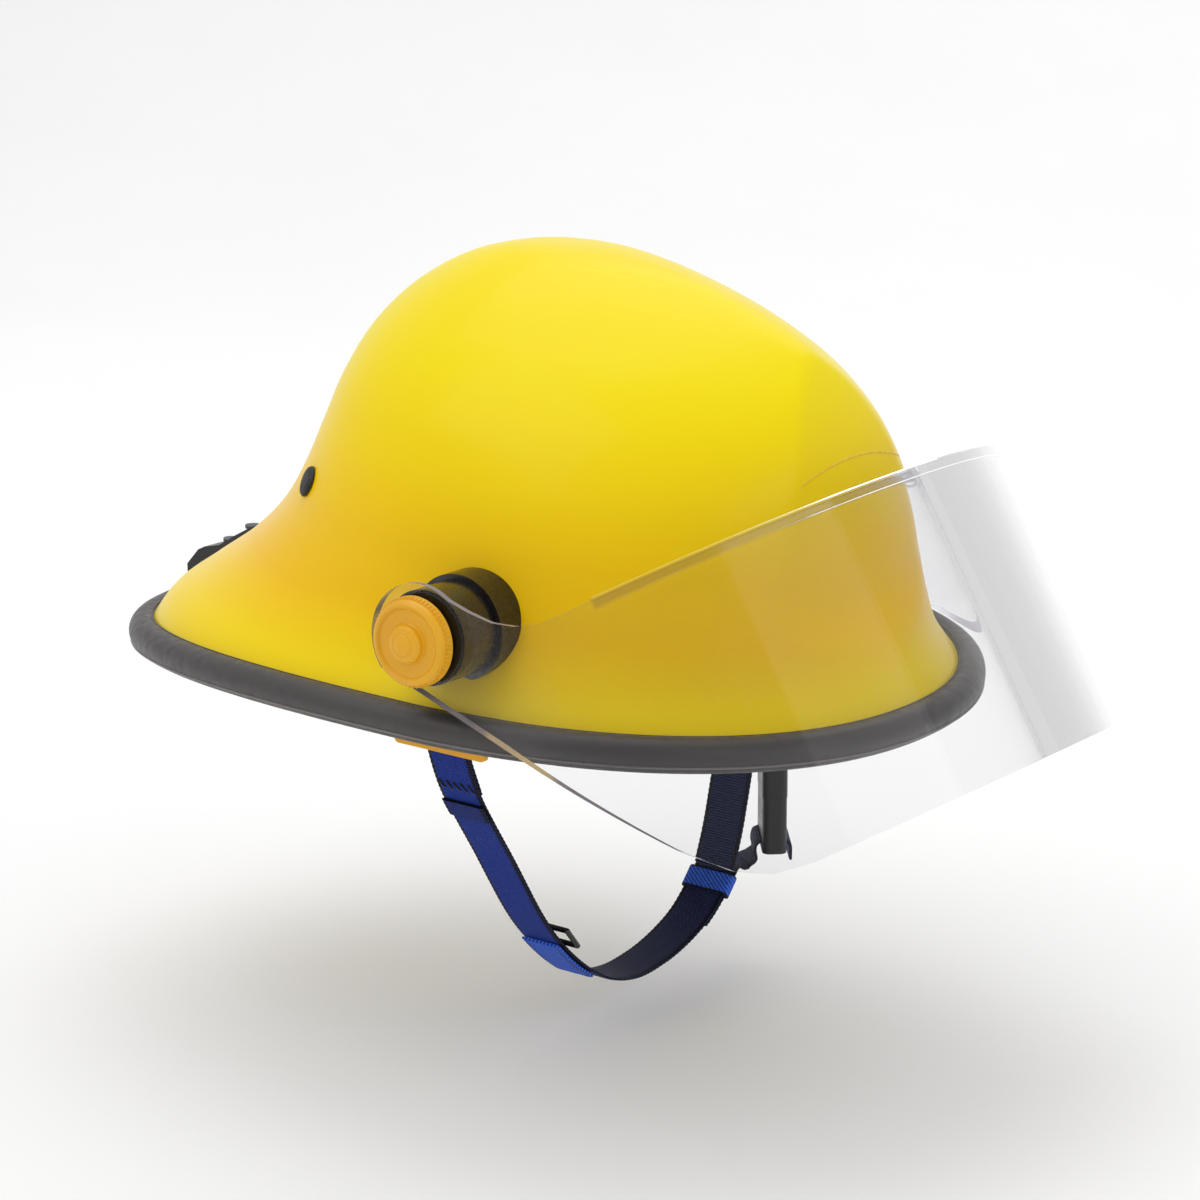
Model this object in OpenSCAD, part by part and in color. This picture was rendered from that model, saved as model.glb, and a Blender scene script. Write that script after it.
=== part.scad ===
/* [Shell] */
// Wall thickness of the composite shell
shell_t = 3; // [2.4:0.1:3.2]
// Number of segments round the shell
shell_seg = 64; // [56:8:72]

/* [Edge trim] */
// Radius of the rubber bead round the brim
trim_r = 6.6; // [6:0.1:6.9]

/* [Face shield] */
// Angle that the face shield is raised from lowered, in degrees
visor_raise = 32; // [28:1:36]
// Thickness of the clear sheet
visor_t = 2.4; // [2:0.1:2.5]
// Reach of the sheet in front of the pivot
visor_reach = 134; // [133.5:0.5:140]
// Depth of the lower edge below the pivot, measured on the sheet
visor_depth = 127.5; // [120:0.5:132]

/* [Knobs] */
// Outer radius of the knurled clamp knobs
knob_r = 16.4; // [15:0.2:17]
// Number of ribs round a clamp knob
knob_ribs = 64; // [48:4:72]

/* [Headband] */
// Half length of the headband inside
band_a = 99; // [97:0.5:100]
// Half width of the headband inside
band_b = 80; // [78:0.5:81]
// Thickness of the headband
band_t = 1.8; // [1.4:0.1:2]

/* [Chin strap] */
// Width of the webbing
web_w = 19; // [18:0.5:20]
// Thickness of the webbing
web_t = 1.4; // [1.2:0.1:1.6]

/* [Hidden] */
$fn = 48;
E = 0.01;

// ---- Shell surface ----
// Rows from the brim edge (0) to the crown (12):
// front x, front z, rear x, rear z, side y, side z, widest x, front fullness, rear fullness
ROWS = [
  [135, -0.5, -204, -12, 131, 2.5, 0, 0.93, 0.95],
  [128, 8, -192, 6, 124.5, 11, 0, 0.94, 0.95],
  [122.5, 18, -175, 19, 118, 20, 0, 0.95, 0.96],
  [118, 31, -155.5, 33, 111.5, 33, -1, 0.9, 0.98],
  [116, 48, -138, 50, 107.5, 49, -3, 0.95, 1],
  [115.5, 66, -126, 68, 104, 66, -6, 1.05, 1],
  [113, 85, -117.5, 87, 98, 85, -9, 1.18, 1],
  [106, 104, -111, 105, 88.5, 104, -13, 1.36, 1.02],
  [93.5, 121, -102.5, 122, 74.5, 121, -17, 1.6, 1.05],
  [73.5, 135, -90.5, 136, 57.5, 135, -20, 1.85, 1.1],
  [43.5, 146, -74, 147, 40.5, 146, -22, 1.8, 1.15],
  [12, 154, -54.5, 155, 23, 154, -24, 1.67, 1.2],
  [-25, 160, -25, 160, 0, 160, -25, 1.6, 1.2]];
// Profile of the narrow crest that runs from the front shield over the crown, as x and z
CREST = [[124, 20], [112, 40], [108.5, 60], [104.5, 84.5], [97.5, 103.5], [85.5, 125], [77, 132], [57, 141],
  [33.5, 149], [2.5, 155], [-25, 157], [-50, 155], [-78.5, 145.5], [-103.5, 127.5], [-122, 101], [-137, 72], [-156, 46],
  [-195, 27], [-250, 20.5]];
CX = -20; CZ = 20;      // centre the crest radius is measured from
CROWN_R = 220;          // crosswise radius of the crest
CREASE = 1.6;           // softness of the crease beside the crest

function cr(a, b, c, d, f) = 0.5 * (2 * b + (c - a) * f + (2 * a - 5 * b + 4 * c - d) * f * f + (3 * b - a - 3 * c + d) * f * f * f);
function along(tab, u) = let (n = len(tab) - 1, i = min(n - 1, max(0, floor(u))), f = u - i, b = tab[i], c = tab[i + 1],
  a = i == 0 ? 2 * b - c : tab[i - 1], d = i == n - 1 ? 2 * c - b : tab[i + 2]) cr(a, b, c, d, f);
CREST_R = [for (k = [0:180]) let (p = along(CREST, k / 10)) [atan2(p[1] - CZ, p[0] - CX), norm([p[0] - CX, p[1] - CZ])]];
function soft_min(a, b, k) = let (h = min(1, max(0, 0.5 + 0.5 * (b - a) / k))) b * (1 - h) + a * h - k * h * (1 - h);
// Point of the outer surface at row u and angle a (0 is the front, 90 the wearer's left)
function S(u, a) = let (v = along(ROWS, u), c = cos(a), s = sin(a), ac = abs(c),
  x = v[6] + sign(c) * (c > 0 ? v[0] - v[6] : v[6] - v[2]) * pow(ac, 0.95),
  y = v[4] * sign(s) * pow(abs(s), c > 0 ? v[7] : v[8]),
  z = v[5] + ((c > 0 ? v[1] : v[3]) - v[5]) * ac * ac,
  r = norm([x - CX, z - CZ]), rb = lookup(atan2(z - CZ, x - CX), CREST_R) - y * y / (2 * CROWN_R),
  k = (z > CZ ? soft_min(r, rb, CREASE) : r) / max(r, 0.001)) [CX + (x - CX) * k, y, CZ + (z - CZ) * k];
function unit(v) = v / norm(v);
// Outward normal
function N(u, a) = unit(cross(S(u, a + 0.5) - S(u, a - 0.5), S(min(11.9, u + 0.06), a) - S(max(0, u - 0.06), a)));
// Point d inside the outer surface
function I(u, a, d) = S(u, a) - d * N(u, a);
A = [for (j = [0:shell_seg - 1]) j * 360 / shell_seg];
U = [for (k = [0:23]) k * 0.5];

// Closed skin over rows of points: rows[i] are rings with the same count; caps or a closed loop of rings
module skin(rings, loop = false) {
  m = len(rings[0]); n = len(rings);
  pts = [for (r = rings) each r];
  side = [for (i = [0:loop ? n - 1 : n - 2], j = [0:m - 1]) let (a = i * m + j, b = i * m + (j + 1) % m, c = ((i + 1) % n) * m + (j + 1) % m, d = ((i + 1) % n) * m + j) each [[a, c, b], [a, d, c]]];
  polyhedron(pts, loop ? side : concat(side, [[for (j = [0:m - 1]) j]], [[for (j = [m - 1:-1:0]) (n - 1) * m + j]]));
}
// Double wall dome between an outer and an inner set of rings, each closed by its own top point
module dome(outer, otop, inner, itop) {
  m = len(outer[0]); n = len(outer); k = len(inner);
  pts = concat([for (r = outer) each r], [otop], [for (r = inner) each r], [itop]);
  o = n * m; b = o + 1; t = b + k * m;
  polyhedron(pts, concat(
    [for (i = [0:n - 2], j = [0:m - 1]) let (p = i * m + j, q = i * m + (j + 1) % m) each [[p, q + m, q], [p, p + m, q + m]]],
    [for (j = [0:m - 1]) [(n - 1) * m + j, o, (n - 1) * m + (j + 1) % m]],
    [for (i = [0:k - 2], j = [0:m - 1]) let (p = b + i * m + j, q = b + i * m + (j + 1) % m) each [[p, q, q + m], [p, q + m, p + m]]],
    [for (j = [0:m - 1]) [b + (k - 1) * m + j, b + (k - 1) * m + (j + 1) % m, t]],
    [for (j = [0:m - 1]) let (p = j, q = (j + 1) % m) each [[p, q, b + q], [p, b + q, b + p]]]));
}
// Flat band of width w and thickness t along points, its width along wd
module band(p, w, t, wd = [1, 0, 0]) {
  n = len(p);
  skin([for (i = [0:n - 1]) let (wi = is_list(wd[0]) ? unit(wd[i]) : wd, d = unit(p[min(n - 1, i + 1)] - p[max(0, i - 1)]), h = unit(cross(d, wi)) * t / 2, s = wi * w / 2)
    [p[i] + h + s, p[i] + h - s, p[i] - h - s, p[i] - h + s]]);
}
module mirror_y(on = true) { if (on) mirror([0, 1, 0]) children(); else children(); }

// ---- Pivot of the face shield, right side; the left is its mirror ----
PX = 12.5; PZ = 37;
VY = 140;               // middle of the sheet, sideways
module at_pivot(y) { translate([PX, -y, PZ]) rotate([-90, 0, 0]) children(); }   // +z of the child points inwards (+Y)
module ring(ro, ri, h) { difference() { cylinder(r = ro, h = h); translate([0, 0, -1]) cylinder(r = ri, h = h + 2); } }

// Block under the right side of the outer surface, on the shell's own grid
module side_block() {
  js = [for (j = [round(shell_seg * 0.67):round(shell_seg * 0.83)]) j * 360 / shell_seg];
  us = [for (k = [1:13]) k * 0.5];
  m = len(js); n = len(us);
  top = [for (u = us, a = js) S(u, a)];
  low = [for (u = us, a = js) let (p = S(u, a)) [p[0], -60, p[2]]];
  polyhedron(concat(top, low), concat(
    [for (i = [0:n - 2], j = [0:m - 2]) let (p = i * m + j) each [[p, p + m + 1, p + 1], [p, p + m, p + m + 1]]],
    [for (i = [0:n - 2], j = [0:m - 2]) let (p = n * m + i * m + j) each [[p, p + 1, p + m + 1], [p, p + m + 1, p + m]]],
    [for (j = [0:m - 2]) each [[j, j + 1, n * m + j + 1], [j, n * m + j + 1, n * m + j]]],
    [for (j = [0:m - 2]) let (p = (n - 1) * m + j) each [[p, n * m + p, p + 1], [p + 1, n * m + p, n * m + p + 1]]],
    [for (i = [0:n - 2]) let (p = i * m) each [[p, n * m + p, p + m], [p + m, n * m + p, n * m + p + m]]],
    [for (i = [0:n - 2]) let (p = i * m + m - 1) each [[p, p + m, n * m + p], [p + m, n * m + p + m, n * m + p]]]));
}

// Side plug place and direction
PLUG_U = 5; PLUG_A = 133;
module at_plug() { n = N(PLUG_U, PLUG_A); p = S(PLUG_U, PLUG_A); translate(p) rotate([0, acos(n[2]), atan2(n[1], n[0])]) children(); }

module shell() color([0.94, 0.82, 0.02]) difference() {
  dome([for (u = U) [for (a = A) S(u, a)]], S(12, 0), [for (u = U) [for (a = A) I(u, a, shell_t)]], S(12, 0) - [0, 0, shell_t]);
  for (y = [-1, 1]) translate([PX, y * 110, PZ]) rotate([90, 0, 0]) cylinder(r = 3.2, h = 30, center = true);
  for (m = [0, 1]) mirror_y(m == 1) at_plug() translate([0, 0, -8]) cylinder(r = 4, h = 12);
  for (x = CLIP_X) translate([x, 0, 0]) cylinder(r = 2.05, h = 60, center = true);
}
CLIP_X = [-190.5, -179];

// Rubber bead with a slot that takes the shell's edge
module edge_trim() color([0.16, 0.15, 0.15]) {
  g = shell_t + 0.05;
  a0 = asin(0.05 / trim_r); a1 = 360 - asin(g / trim_r);
  sec = concat([for (k = [0:13]) let (t = a0 + (a1 - a0) * k / 13) [trim_r * cos(t), trim_r * sin(t)]], [[-0.5, -g], [-0.5, 0.05]]);
  skin([for (a = A) let (p = S(0, a), n = N(0, a), w = unit(S(0, a + 0.5) - S(0, a - 0.5)), t = unit(cross(n, w)))
    [for (q = sec) p + (-q[0]) * t * -1 + q[1] * n]], true);
}

// ---- Face shield, drawn lowered about its pivot and then raised ----
// Plan curve offset by d from the middle of the sheet
function plan(d) = let (x0 = 18, a = visor_reach - x0)
  concat([[-24, -VY - d]], [for (k = [0:44]) let (t = -90 + k * 180 / 44, p = [x0 + a * cos(t), VY * sin(t)], n = unit([cos(t) / a, sin(t) / VY])) p + d * n], [[-24, VY + d]]);
module visor_wall(ro, ri, z0, z1) {
  o = plan(ro); i = plan(ri);
  translate([0, 0, z0]) linear_extrude(z1 - z0) polygon(concat(o, [for (k = [len(i) - 1:-1:0]) i[k]]));
}
module visor_place() { translate([PX, 0, PZ]) rotate([0, -visor_raise, 0]) children(); }
SIDE = concat([for (a = [186:-12:30]) 20.5 * [cos(a), sin(a)]],
  [[19.4, 7.4], [25, 0.8], [32, -6.4], [40, -11.4], [48.5, -14], [58, -14.5], [150, -14.5], [150, -visor_depth], [93, -visor_depth],
   [82, -visor_depth + 2], [72, -visor_depth + 8.5], [59.5, -105], [45.5, -86.5], [23, -57]]);
module visor_sheet() color([0.85, 0.9, 0.93, 0.35]) visor_place() difference() {
  intersection() {
    visor_wall(visor_t / 2, -visor_t / 2, -140, 30);
    rotate([90, 0, 0]) linear_extrude(400, center = true) polygon(SIDE);
  }
  for (y = [-1, 1]) translate([0, y * VY, 0]) rotate([90, 0, 0]) cylinder(r = 6.05, h = 12, center = true);
}
module visor_edge_strip() color([0.85, 0.88, 0.92, 0.5]) visor_place() difference() {
  intersection() {
    visor_wall(visor_t / 2 + 1.1, -visor_t / 2 - 1.1, -17.6, -13.4);
    translate([66.5, -200, -40]) cube([200, 400, 60]);
  }
  visor_wall(visor_t / 2 + 0.03, -visor_t / 2 - 0.03, -18, -14.45);
}

// Barrel between shell and sheet, cut to the shell, with a nose that the sheet turns on
module boss() difference() {
  at_pivot(0) translate([0, 0, 0]) rotate([180, 0, 0]) {
    translate([0, 0, 100]) cylinder(r = 19.5, h = 18);
    translate([0, 0, 100]) cylinder(r = 17.4, h = 37.95);
    translate([0, 0, 130]) cylinder(r = 6, h = 11.35);
  }
  side_block();
  at_pivot(150) cylinder(r = 3.2, h = 60);
}
module pivot_boss_right() color([0.13, 0.1, 0.08]) boss();
module pivot_boss_left() color([0.13, 0.1, 0.08]) mirror_y() boss();
module friction_washers() color([0.1, 0.1, 0.1]) for (m = [0, 1]) mirror_y(m == 1) {
  at_pivot(138.7) ring(16.6, 6.2, 0.72);
  at_pivot(141.78) ring(14.5, 6.2, 0.48);
}
module pivot_bolts() color([0.7, 0.7, 0.72]) for (m = [0, 1]) mirror_y(m == 1) {
  at_pivot(146.4) cylinder(r = 3, h = 46.4);
  at_pivot(100.45) difference() { cylinder(r = 7, h = 3.2); translate([0, 0, 1.4]) cylinder(r = 2.6, h = 4, $fn = 6); }
}
module bolt_spacers() color([0.6, 0.6, 0.62]) for (m = [0, 1]) mirror_y(m == 1) at_pivot(104.7) ring(5, 3.1, 1.6);

module knob() at_pivot(0) rotate([180, 0, 0]) difference() {
  union() {
    rotate_extrude($fn = 96) polygon([[0, 141.9], [knob_r - 0.5, 141.9], [knob_r, 142.4], [knob_r - 0.1, 143], [knob_r - 0.9, 145.8], [knob_r - 1.3, 147.1], [knob_r - 2.3, 147.9], [knob_r - 3, 148],
      [knob_r - 3.6, 147.6], [knob_r - 4.2, 146.9], [7.6, 146.9], [7.1, 147.4], [6.8, 148.9], [6, 149.9], [4.4, 150.4], [4, 150.3], [3.5, 150.7], [2.2, 151.1], [0, 151.2]]);
    translate([0, 0, 143.1]) linear_extrude(2.5) polygon([for (k = [0:2 * knob_ribs - 1]) (k % 2 == 0 ? knob_r : knob_r - 0.9) * [cos(k * 180 / knob_ribs), sin(k * 180 / knob_ribs)]]);
  }
  translate([0, 0, 141]) cylinder(r = 3.05, h = 5.6);
}
module visor_knob_right() color([0.94, 0.8, 0.02]) knob();
module visor_knob_left() color([0.94, 0.8, 0.02]) mirror_y() knob();

// ---- Fittings on the shell ----
module side_plugs() color([0.08, 0.08, 0.08]) for (m = [0, 1]) mirror_y(m == 1) at_plug() {
  translate([0, 0, 0.35]) rotate_extrude() polygon([[0, 0], [6, 0], [6, 0.5], [5.3, 1.3], [4, 1.7], [0, 1.8]]);
  translate([0, 0, -6]) cylinder(r = 3.9, h = 6.5);
}
// Clip on the middle of the rear brim: low ramp with a hooked, slotted lower end
module rear_clip() color([0.07, 0.07, 0.07]) difference() {
  translate([0, 9, 0]) rotate([90, 0, 0]) linear_extrude(18) polygon([[-206.4, -3.4], [-206.8, 2.5], [-201, 9.4], [-197.5, 11.2], [-190, 13], [-182, 18.2], [-173.5, 23.2], [-168, 25.6], [-168, 24.9], [-174.6, 19.9],
    [-183, 14.1], [-191.5, 7.2], [-195.5, 4.2], [-199, 5], [-201.5, 3], [-204.2, -1]]);
  for (x = CLIP_X) translate([x, 0, 0]) cylinder(r = 2.05, h = 60, center = true);
  translate([-203, -6, -10]) cube([3.2, 12, 30]);
}
module rear_clip_rivets() color([0.3, 0.3, 0.3]) for (k = [0, 1]) translate([CLIP_X[k], 0, k == 0 ? 1.6 : 10.6]) {
  cylinder(r = 2, h = k == 0 ? 11.6 : 10);
  translate([0, 0, -1.2]) cylinder(r = 4, h = 1.6);
  translate([0, 0, k == 0 ? 11.5 : 9.9]) cylinder(r = 3.6, h = 1.2);
}

// ---- Impact liner and crown straps ----
LX = -12; LZ = 46;
function egg(c, e, a, fr, re, sd, up) = [c + (cos(a) > 0 ? fr : re) * cos(a) * cos(e), sd * sin(a) * cos(e), LZ + up * sin(e)];
module impact_liner() color([0.2, 0.2, 0.21]) {
  aa = [for (j = [0:39]) j * 9];
  dome([for (e = [0:9:81]) [for (a = aa) egg(LX, e, a, 115, 110, 98, 103)]], egg(LX, 90, 0, 1, 1, 1, 103),
    [for (e = [0:9:81]) [for (a = aa) egg(LX, e, a, 98, 97, 81, 86)]], egg(LX, 90, 0, 1, 1, 1, 86));
}
STRAP_A = [35, 90, 145];
function strap_pt(a, e) = let (s = e < 90 ? 1 : -1) [LX - 4 + s * cos(a) * (s * cos(a) > 0 ? 94 : 88) * cos(e) * s, 76 * sin(a) * cos(e), LZ - 4 + 82 * sin(e)];
module crown_straps() color([0.12, 0.12, 0.13]) for (k = [0:2]) let (a = STRAP_A[k], w = [-sin(a), cos(a), 0])
  band([for (e = [0:10:180]) strap_pt(a, e) + [0, 0, (k - 1) * 1.4]], 20, 1.3, w);
module crown_pad() color([0.1, 0.1, 0.11]) translate([LX - 4, 0, 0]) {
  translate([0, 0, LZ + 69.6]) cylinder(r = 21, h = 3);
}
// Six keys that carry the straps from the shell
module hanger(a, r0, r1) translate([LX - 4, 0, 0]) rotate([0, 0, a]) {
  translate([r0 - 1.2, -11.5, LZ - 12]) cube([3.2, 23, 7.6]);
  translate([r0, -7, LZ - 11]) cube([r1 - r0, 14, 3.4]);
}
module suspension_hangers() color([0.09, 0.09, 0.09]) {
  hanger(90, 76.6, 100.4); hanger(270, 76.6, 100.4);
  for (s = [-1, 1]) { hanger(s * 39.5, 89, 111); hanger(s * 139, 84.5, 117); }
}

// ---- Headband ----
HX = -10; HP = [90.6, 0];      // band centre, and the pin that its two halves turn on
RR = HP[0] + 112;              // radius of the rack arcs about that pin
RZ = -2;                       // height of the ratchet axis
function oval(t, d) = [HX + (band_a + d) * cos(t), (band_b + d) * sin(t)];
TAIL = [[-52, 72.6], [-70, 69.4], [-86, 65.3], [-96, 61], [-101.2, 57.2]];
// Left half of the band as a ribbon seen from above, d from its inner face
function half_path(d) = concat([for (t = [7:6:109]) oval(t, d)], [for (p = TAIL) let (n = unit([p[0] - HX, p[1] * 1.6])) p + d * n]);
function arc(y, d) = [HP[0] - sqrt(pow(RR + d, 2) - y * y), y];
module band_half() {
  o = half_path(band_t); i = half_path(0);
  translate([0, 0, -3]) linear_extrude(32) polygon(concat(o, [for (k = [len(i) - 1:-1:0]) i[k]]));
  // front knuckle
  difference() {
    translate([0, 0, 3]) linear_extrude(9) union() { translate(HP) circle(r = 3.4); translate([HP[0] - 4.4, 1]) square([3.4, 10]); }
    translate([HP[0], HP[1], 0]) cylinder(r = 1.55, h = 40);
  }
}
// Tail with rack teeth on its lower edge
module rack_tail() {
  translate([0, 0, RZ + 6.2]) linear_extrude(4) polygon(concat([for (y = [-20:5.5:57.1]) arc(y, 1)], [[-101.6, 58.6], [-99.8, 57.9]], [for (y = [56:-5.5:-20.5]) arc(y, -1)], [arc(-20, -1)]));
  for (k = [-6:11]) let (t = (k + 0.5) * 180 / RR) translate([HP[0], 0, 0]) rotate([0, 0, -t]) translate([-RR - 1, 0, RZ])
    rotate([90, 0, 90]) linear_extrude(2) polygon([[-0.95, 6.3], [-0.35, 4.25], [0.35, 4.25], [0.95, 6.3]]);
}
module headband_left() color([0.13, 0.13, 0.14]) { band_half(); rack_tail(); }
module headband_right() color([0.13, 0.13, 0.14]) {
  mirror([0, 1, 0]) { o = half_path(band_t); i = half_path(0); translate([0, 0, -3]) linear_extrude(32) polygon(concat(o, [for (k = [len(i) - 1:-1:0]) i[k]])); }
  difference() {
    translate([0, 0, 13]) linear_extrude(9) union() { translate(HP) circle(r = 3.4); translate([HP[0] - 4.4, -11]) square([3.4, 10]); }
    translate([HP[0], HP[1], 0]) cylinder(r = 1.55, h = 40);
  }
  translate([0, 0, 2 * RZ]) mirror([0, 0, 1]) mirror([0, 1, 0]) rack_tail();
}
// Soft lining on the inside of each half
module lining() translate([0, 0, -1.5]) linear_extrude(29)
  let (t0 = 34, t1 = 106) polygon(concat([for (t = [t0:6:t1]) oval(t, -0.35)], [for (t = [t1:-6:t0]) oval(t, -3.6)]));
module sweatband_left() color([0.1, 0.1, 0.11]) lining();
module sweatband_right() color([0.1, 0.1, 0.11]) mirror_y() lining();
// Pad behind the forehead, held by the brow bracket
module brow_pad() color([0.1, 0.1, 0.11]) difference() {
  translate([0, 0, -5]) linear_extrude(37) polygon(concat([for (t = [-27:3:27]) [HX - 2.2 + (band_a - 2.4) * cos(t), 73 * sin(t)]], [for (t = [27:-3:-27]) [HX - 2.2 + (band_a - 7.4) * cos(t), 73 * sin(t)]]));
  translate([HP[0] - 9, -6.2, 22.3]) cube([10, 12.4, 20]);
}
module brow_bracket() color([0.09, 0.09, 0.09]) difference() {
  union() {
    translate([HP[0] - 4.2, -6, 33]) cube([24.5, 12, 3.4]);
    translate([HP[0] - 8.8, -6, 22.5]) cube([3, 12, 10.6]);
    translate([HP[0] - 8.8, -6, 33 - E]) cube([6, 12, 3.4 + E]);
  }
  translate([HP[0], HP[1], 0]) cylinder(r = 1.5, h = 60);
}
module brow_pin() color([0.7, 0.7, 0.72]) translate([HP[0], HP[1], 1]) {
  cylinder(r = 1.5, h = 36.2);
  translate([0, 0, -1.2]) cylinder(r = 3, h = 1.3);
}

// ---- Ratchet at the nape ----
AX = HP[0] - RR;               // x of the pinion's middle
module plate_yz(x, t, w, z0, z1) translate([x, 0, 0]) rotate([90, 0, 90]) linear_extrude(t) hull() for (y = [-w + 6, w - 6], z = [z0 + 6, z1 - 6]) translate([y, z]) circle(r = 6, $fn = 32);
module ratchet_housing() color([0.08, 0.08, 0.08]) difference() {
  plate_yz(AX - 6.4, 13.9, 28, -20, 16);
  translate([AX - 1.8, -40, RZ - 11.2]) cube([20, 80, 22.4]);
  translate([AX - 20, 0, RZ]) rotate([0, 90, 0]) cylinder(r = 2.05, h = 30);
  for (y = [-22, 22]) translate([AX - 20, y, RZ + 14.2]) rotate([0, 90, 0]) cylinder(r = 1.1, h = 40);
}
module ratchet_cover() color([0.1, 0.1, 0.1]) difference() {
  plate_yz(AX + 7.55, 1.8, 28, -20, 16);
  for (y = [-22, 22]) translate([AX - 20, y, RZ + 14.2]) rotate([0, 90, 0]) cylinder(r = 1.1, h = 40);
}
module ratchet_screws() color([0.7, 0.7, 0.72]) for (y = [-22, 22]) translate([AX - 4, y, RZ + 14.2]) rotate([0, 90, 0]) {
  cylinder(r = 1.05, h = 13.4);
  translate([0, 0, 13.38]) cylinder(r = 2.2, h = 1);
}
module nape_pad() color([0.1, 0.1, 0.11]) plate_yz(AX + 10.6, 5, 27, -22, 17);
// Two arms that hang the ratchet housing from the shell
module ratchet_arms() color([0.09, 0.09, 0.09]) for (s = [-1, 1]) translate([0, s * 17 - 5, 0]) rotate([90, 0, 0]) translate([0, 0, -10])
  linear_extrude(10) polygon([[AX - 2, 16.05], [AX + 2, 16.05], [AX + 2, 37], [AX - 27, 37.5], [AX - 27, 34], [AX - 2, 34]]);
module ratchet_pinion() color([0.75, 0.72, 0.6]) translate([AX, 0, RZ]) rotate([90, 0, 90]) {
  translate([0, 0, -1.6]) linear_extrude(5.4) union() {
    circle(r = 3.8);
    for (k = [0:9]) rotate(90 + 36 * k) polygon([[3.5, -0.9], [5, -0.6], [5.75, -0.28], [5.75, 0.28], [5, 0.6], [3.5, 0.9]]);
  }
  translate([0, 0, -12]) cylinder(r = 2, h = 12);
}
module ratchet_knob() color([0.08, 0.08, 0.08]) translate([AX - 21.5, 0, RZ]) rotate([90, 0, 90]) difference() {
  union() {
    linear_extrude(12) polygon([for (k = [0:71]) (k % 2 == 0 ? 17 : 16.1) * [cos(k * 5), sin(k * 5)]]);
    translate([0, 0, 11.9]) cylinder(r = 13, h = 2.9);
    translate([0, 0, -1.5]) cylinder(r = 12, h = 1.6);
  }
  translate([0, 0, 9]) cylinder(r = 2, h = 10);
}

// ---- Chin strap ----
KZ = 3;                 // height of the pins that the strap's end plates turn on
// Inner plate under the pivot bolt that carries the strap pin
module bracket() difference() {
  translate([0, -100.5, 0]) rotate([90, 0, 0]) linear_extrude(2.5) hull() {
    translate([0, KZ]) circle(r = 6, $fn = 32);
    translate([-12, 36]) circle(r = 8, $fn = 32);
    translate([PX, 36]) circle(r = 8, $fn = 32);
  }
  at_pivot(110) cylinder(r = 3.1, h = 20);
  translate([0, -110, KZ]) rotate([-90, 0, 0]) cylinder(r = 2.1, h = 20);
}
module strap_bracket_right() color([0.08, 0.08, 0.08]) bracket();
module strap_bracket_left() color([0.08, 0.08, 0.08]) mirror_y() bracket();
module strap_pivot_pins() color([0.6, 0.6, 0.62]) for (m = [0, 1]) mirror_y(m == 1) translate([0, -111.6, KZ]) rotate([-90, 0, 0]) {
  cylinder(r = 2.05, h = 12.6);
  cylinder(r = 4.2, h = 1.3);
  translate([0, 0, 11.2]) cylinder(r = 3.6, h = 1.3);
}
// End plate with a bar that the webbing is sewn round
module anchor() difference() {
  union() {
    translate([0, -108, 0]) rotate([90, 0, 0]) linear_extrude(2.3) hull() {
      for (x = [-18.7, 18.7]) translate([x, -12]) circle(r = 1.8, $fn = 32);
      translate([0, KZ + 1]) circle(r = 7.5, $fn = 32);
    }
    for (x = [-12.4, 10.6]) translate([x, -108.2, -7.5]) cube([1.8, 5, 5]);
    translate([-12, -105.2, -5]) rotate([0, 90, 0]) cylinder(r = 1.5, h = 24);
  }
  translate([0, -120, KZ]) rotate([-90, 0, 0]) cylinder(r = 2.1, h = 20);
}
module chin_anchor_right() color([0.9, 0.66, 0.03]) anchor();
module chin_anchor_left() color([0.9, 0.66, 0.03]) mirror_y() anchor();
// Sewn eye of the webbing round an anchor bar
module eye() translate([-web_w / 2, -105.2, -5]) rotate([0, 90, 0]) ring(2.75, 1.55, web_w);
// Webbing routes in the plane x = 0, as y and z
ROUTE_R = [[-105.2, -7.6], [-104.8, -12], [-103.9, -17], [-97, -31.5], [-87.2, -45.5], [-74.8, -62], [-54.7, -89.5], [-40, -105.5], [-22.5, -119.5],
  [-5, -129], [12, -133], [28, -132.5], [44, -129.5], [60, -123.5], [71, -115.5], [78, -107.5]];
ROUTE_L = [[0, 105.2, -7.6], [0, 105.6, -12], [1, 105.9, -20], [4.8, 105.4, -32], [8.8, 104.61, -43.96], [8.8, 104.85, -47.4]];   // x, y and z
function turned(z) = let (f = max(0, min(1, (-14 - z) / 29))) [1 - 0.384 * f, -0.786 * f, -0.055 * f];
FLAP = [[79.2, -106], [84, -92], [87.5, -77], [90.5, -62], [92.5, -48]];
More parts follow.
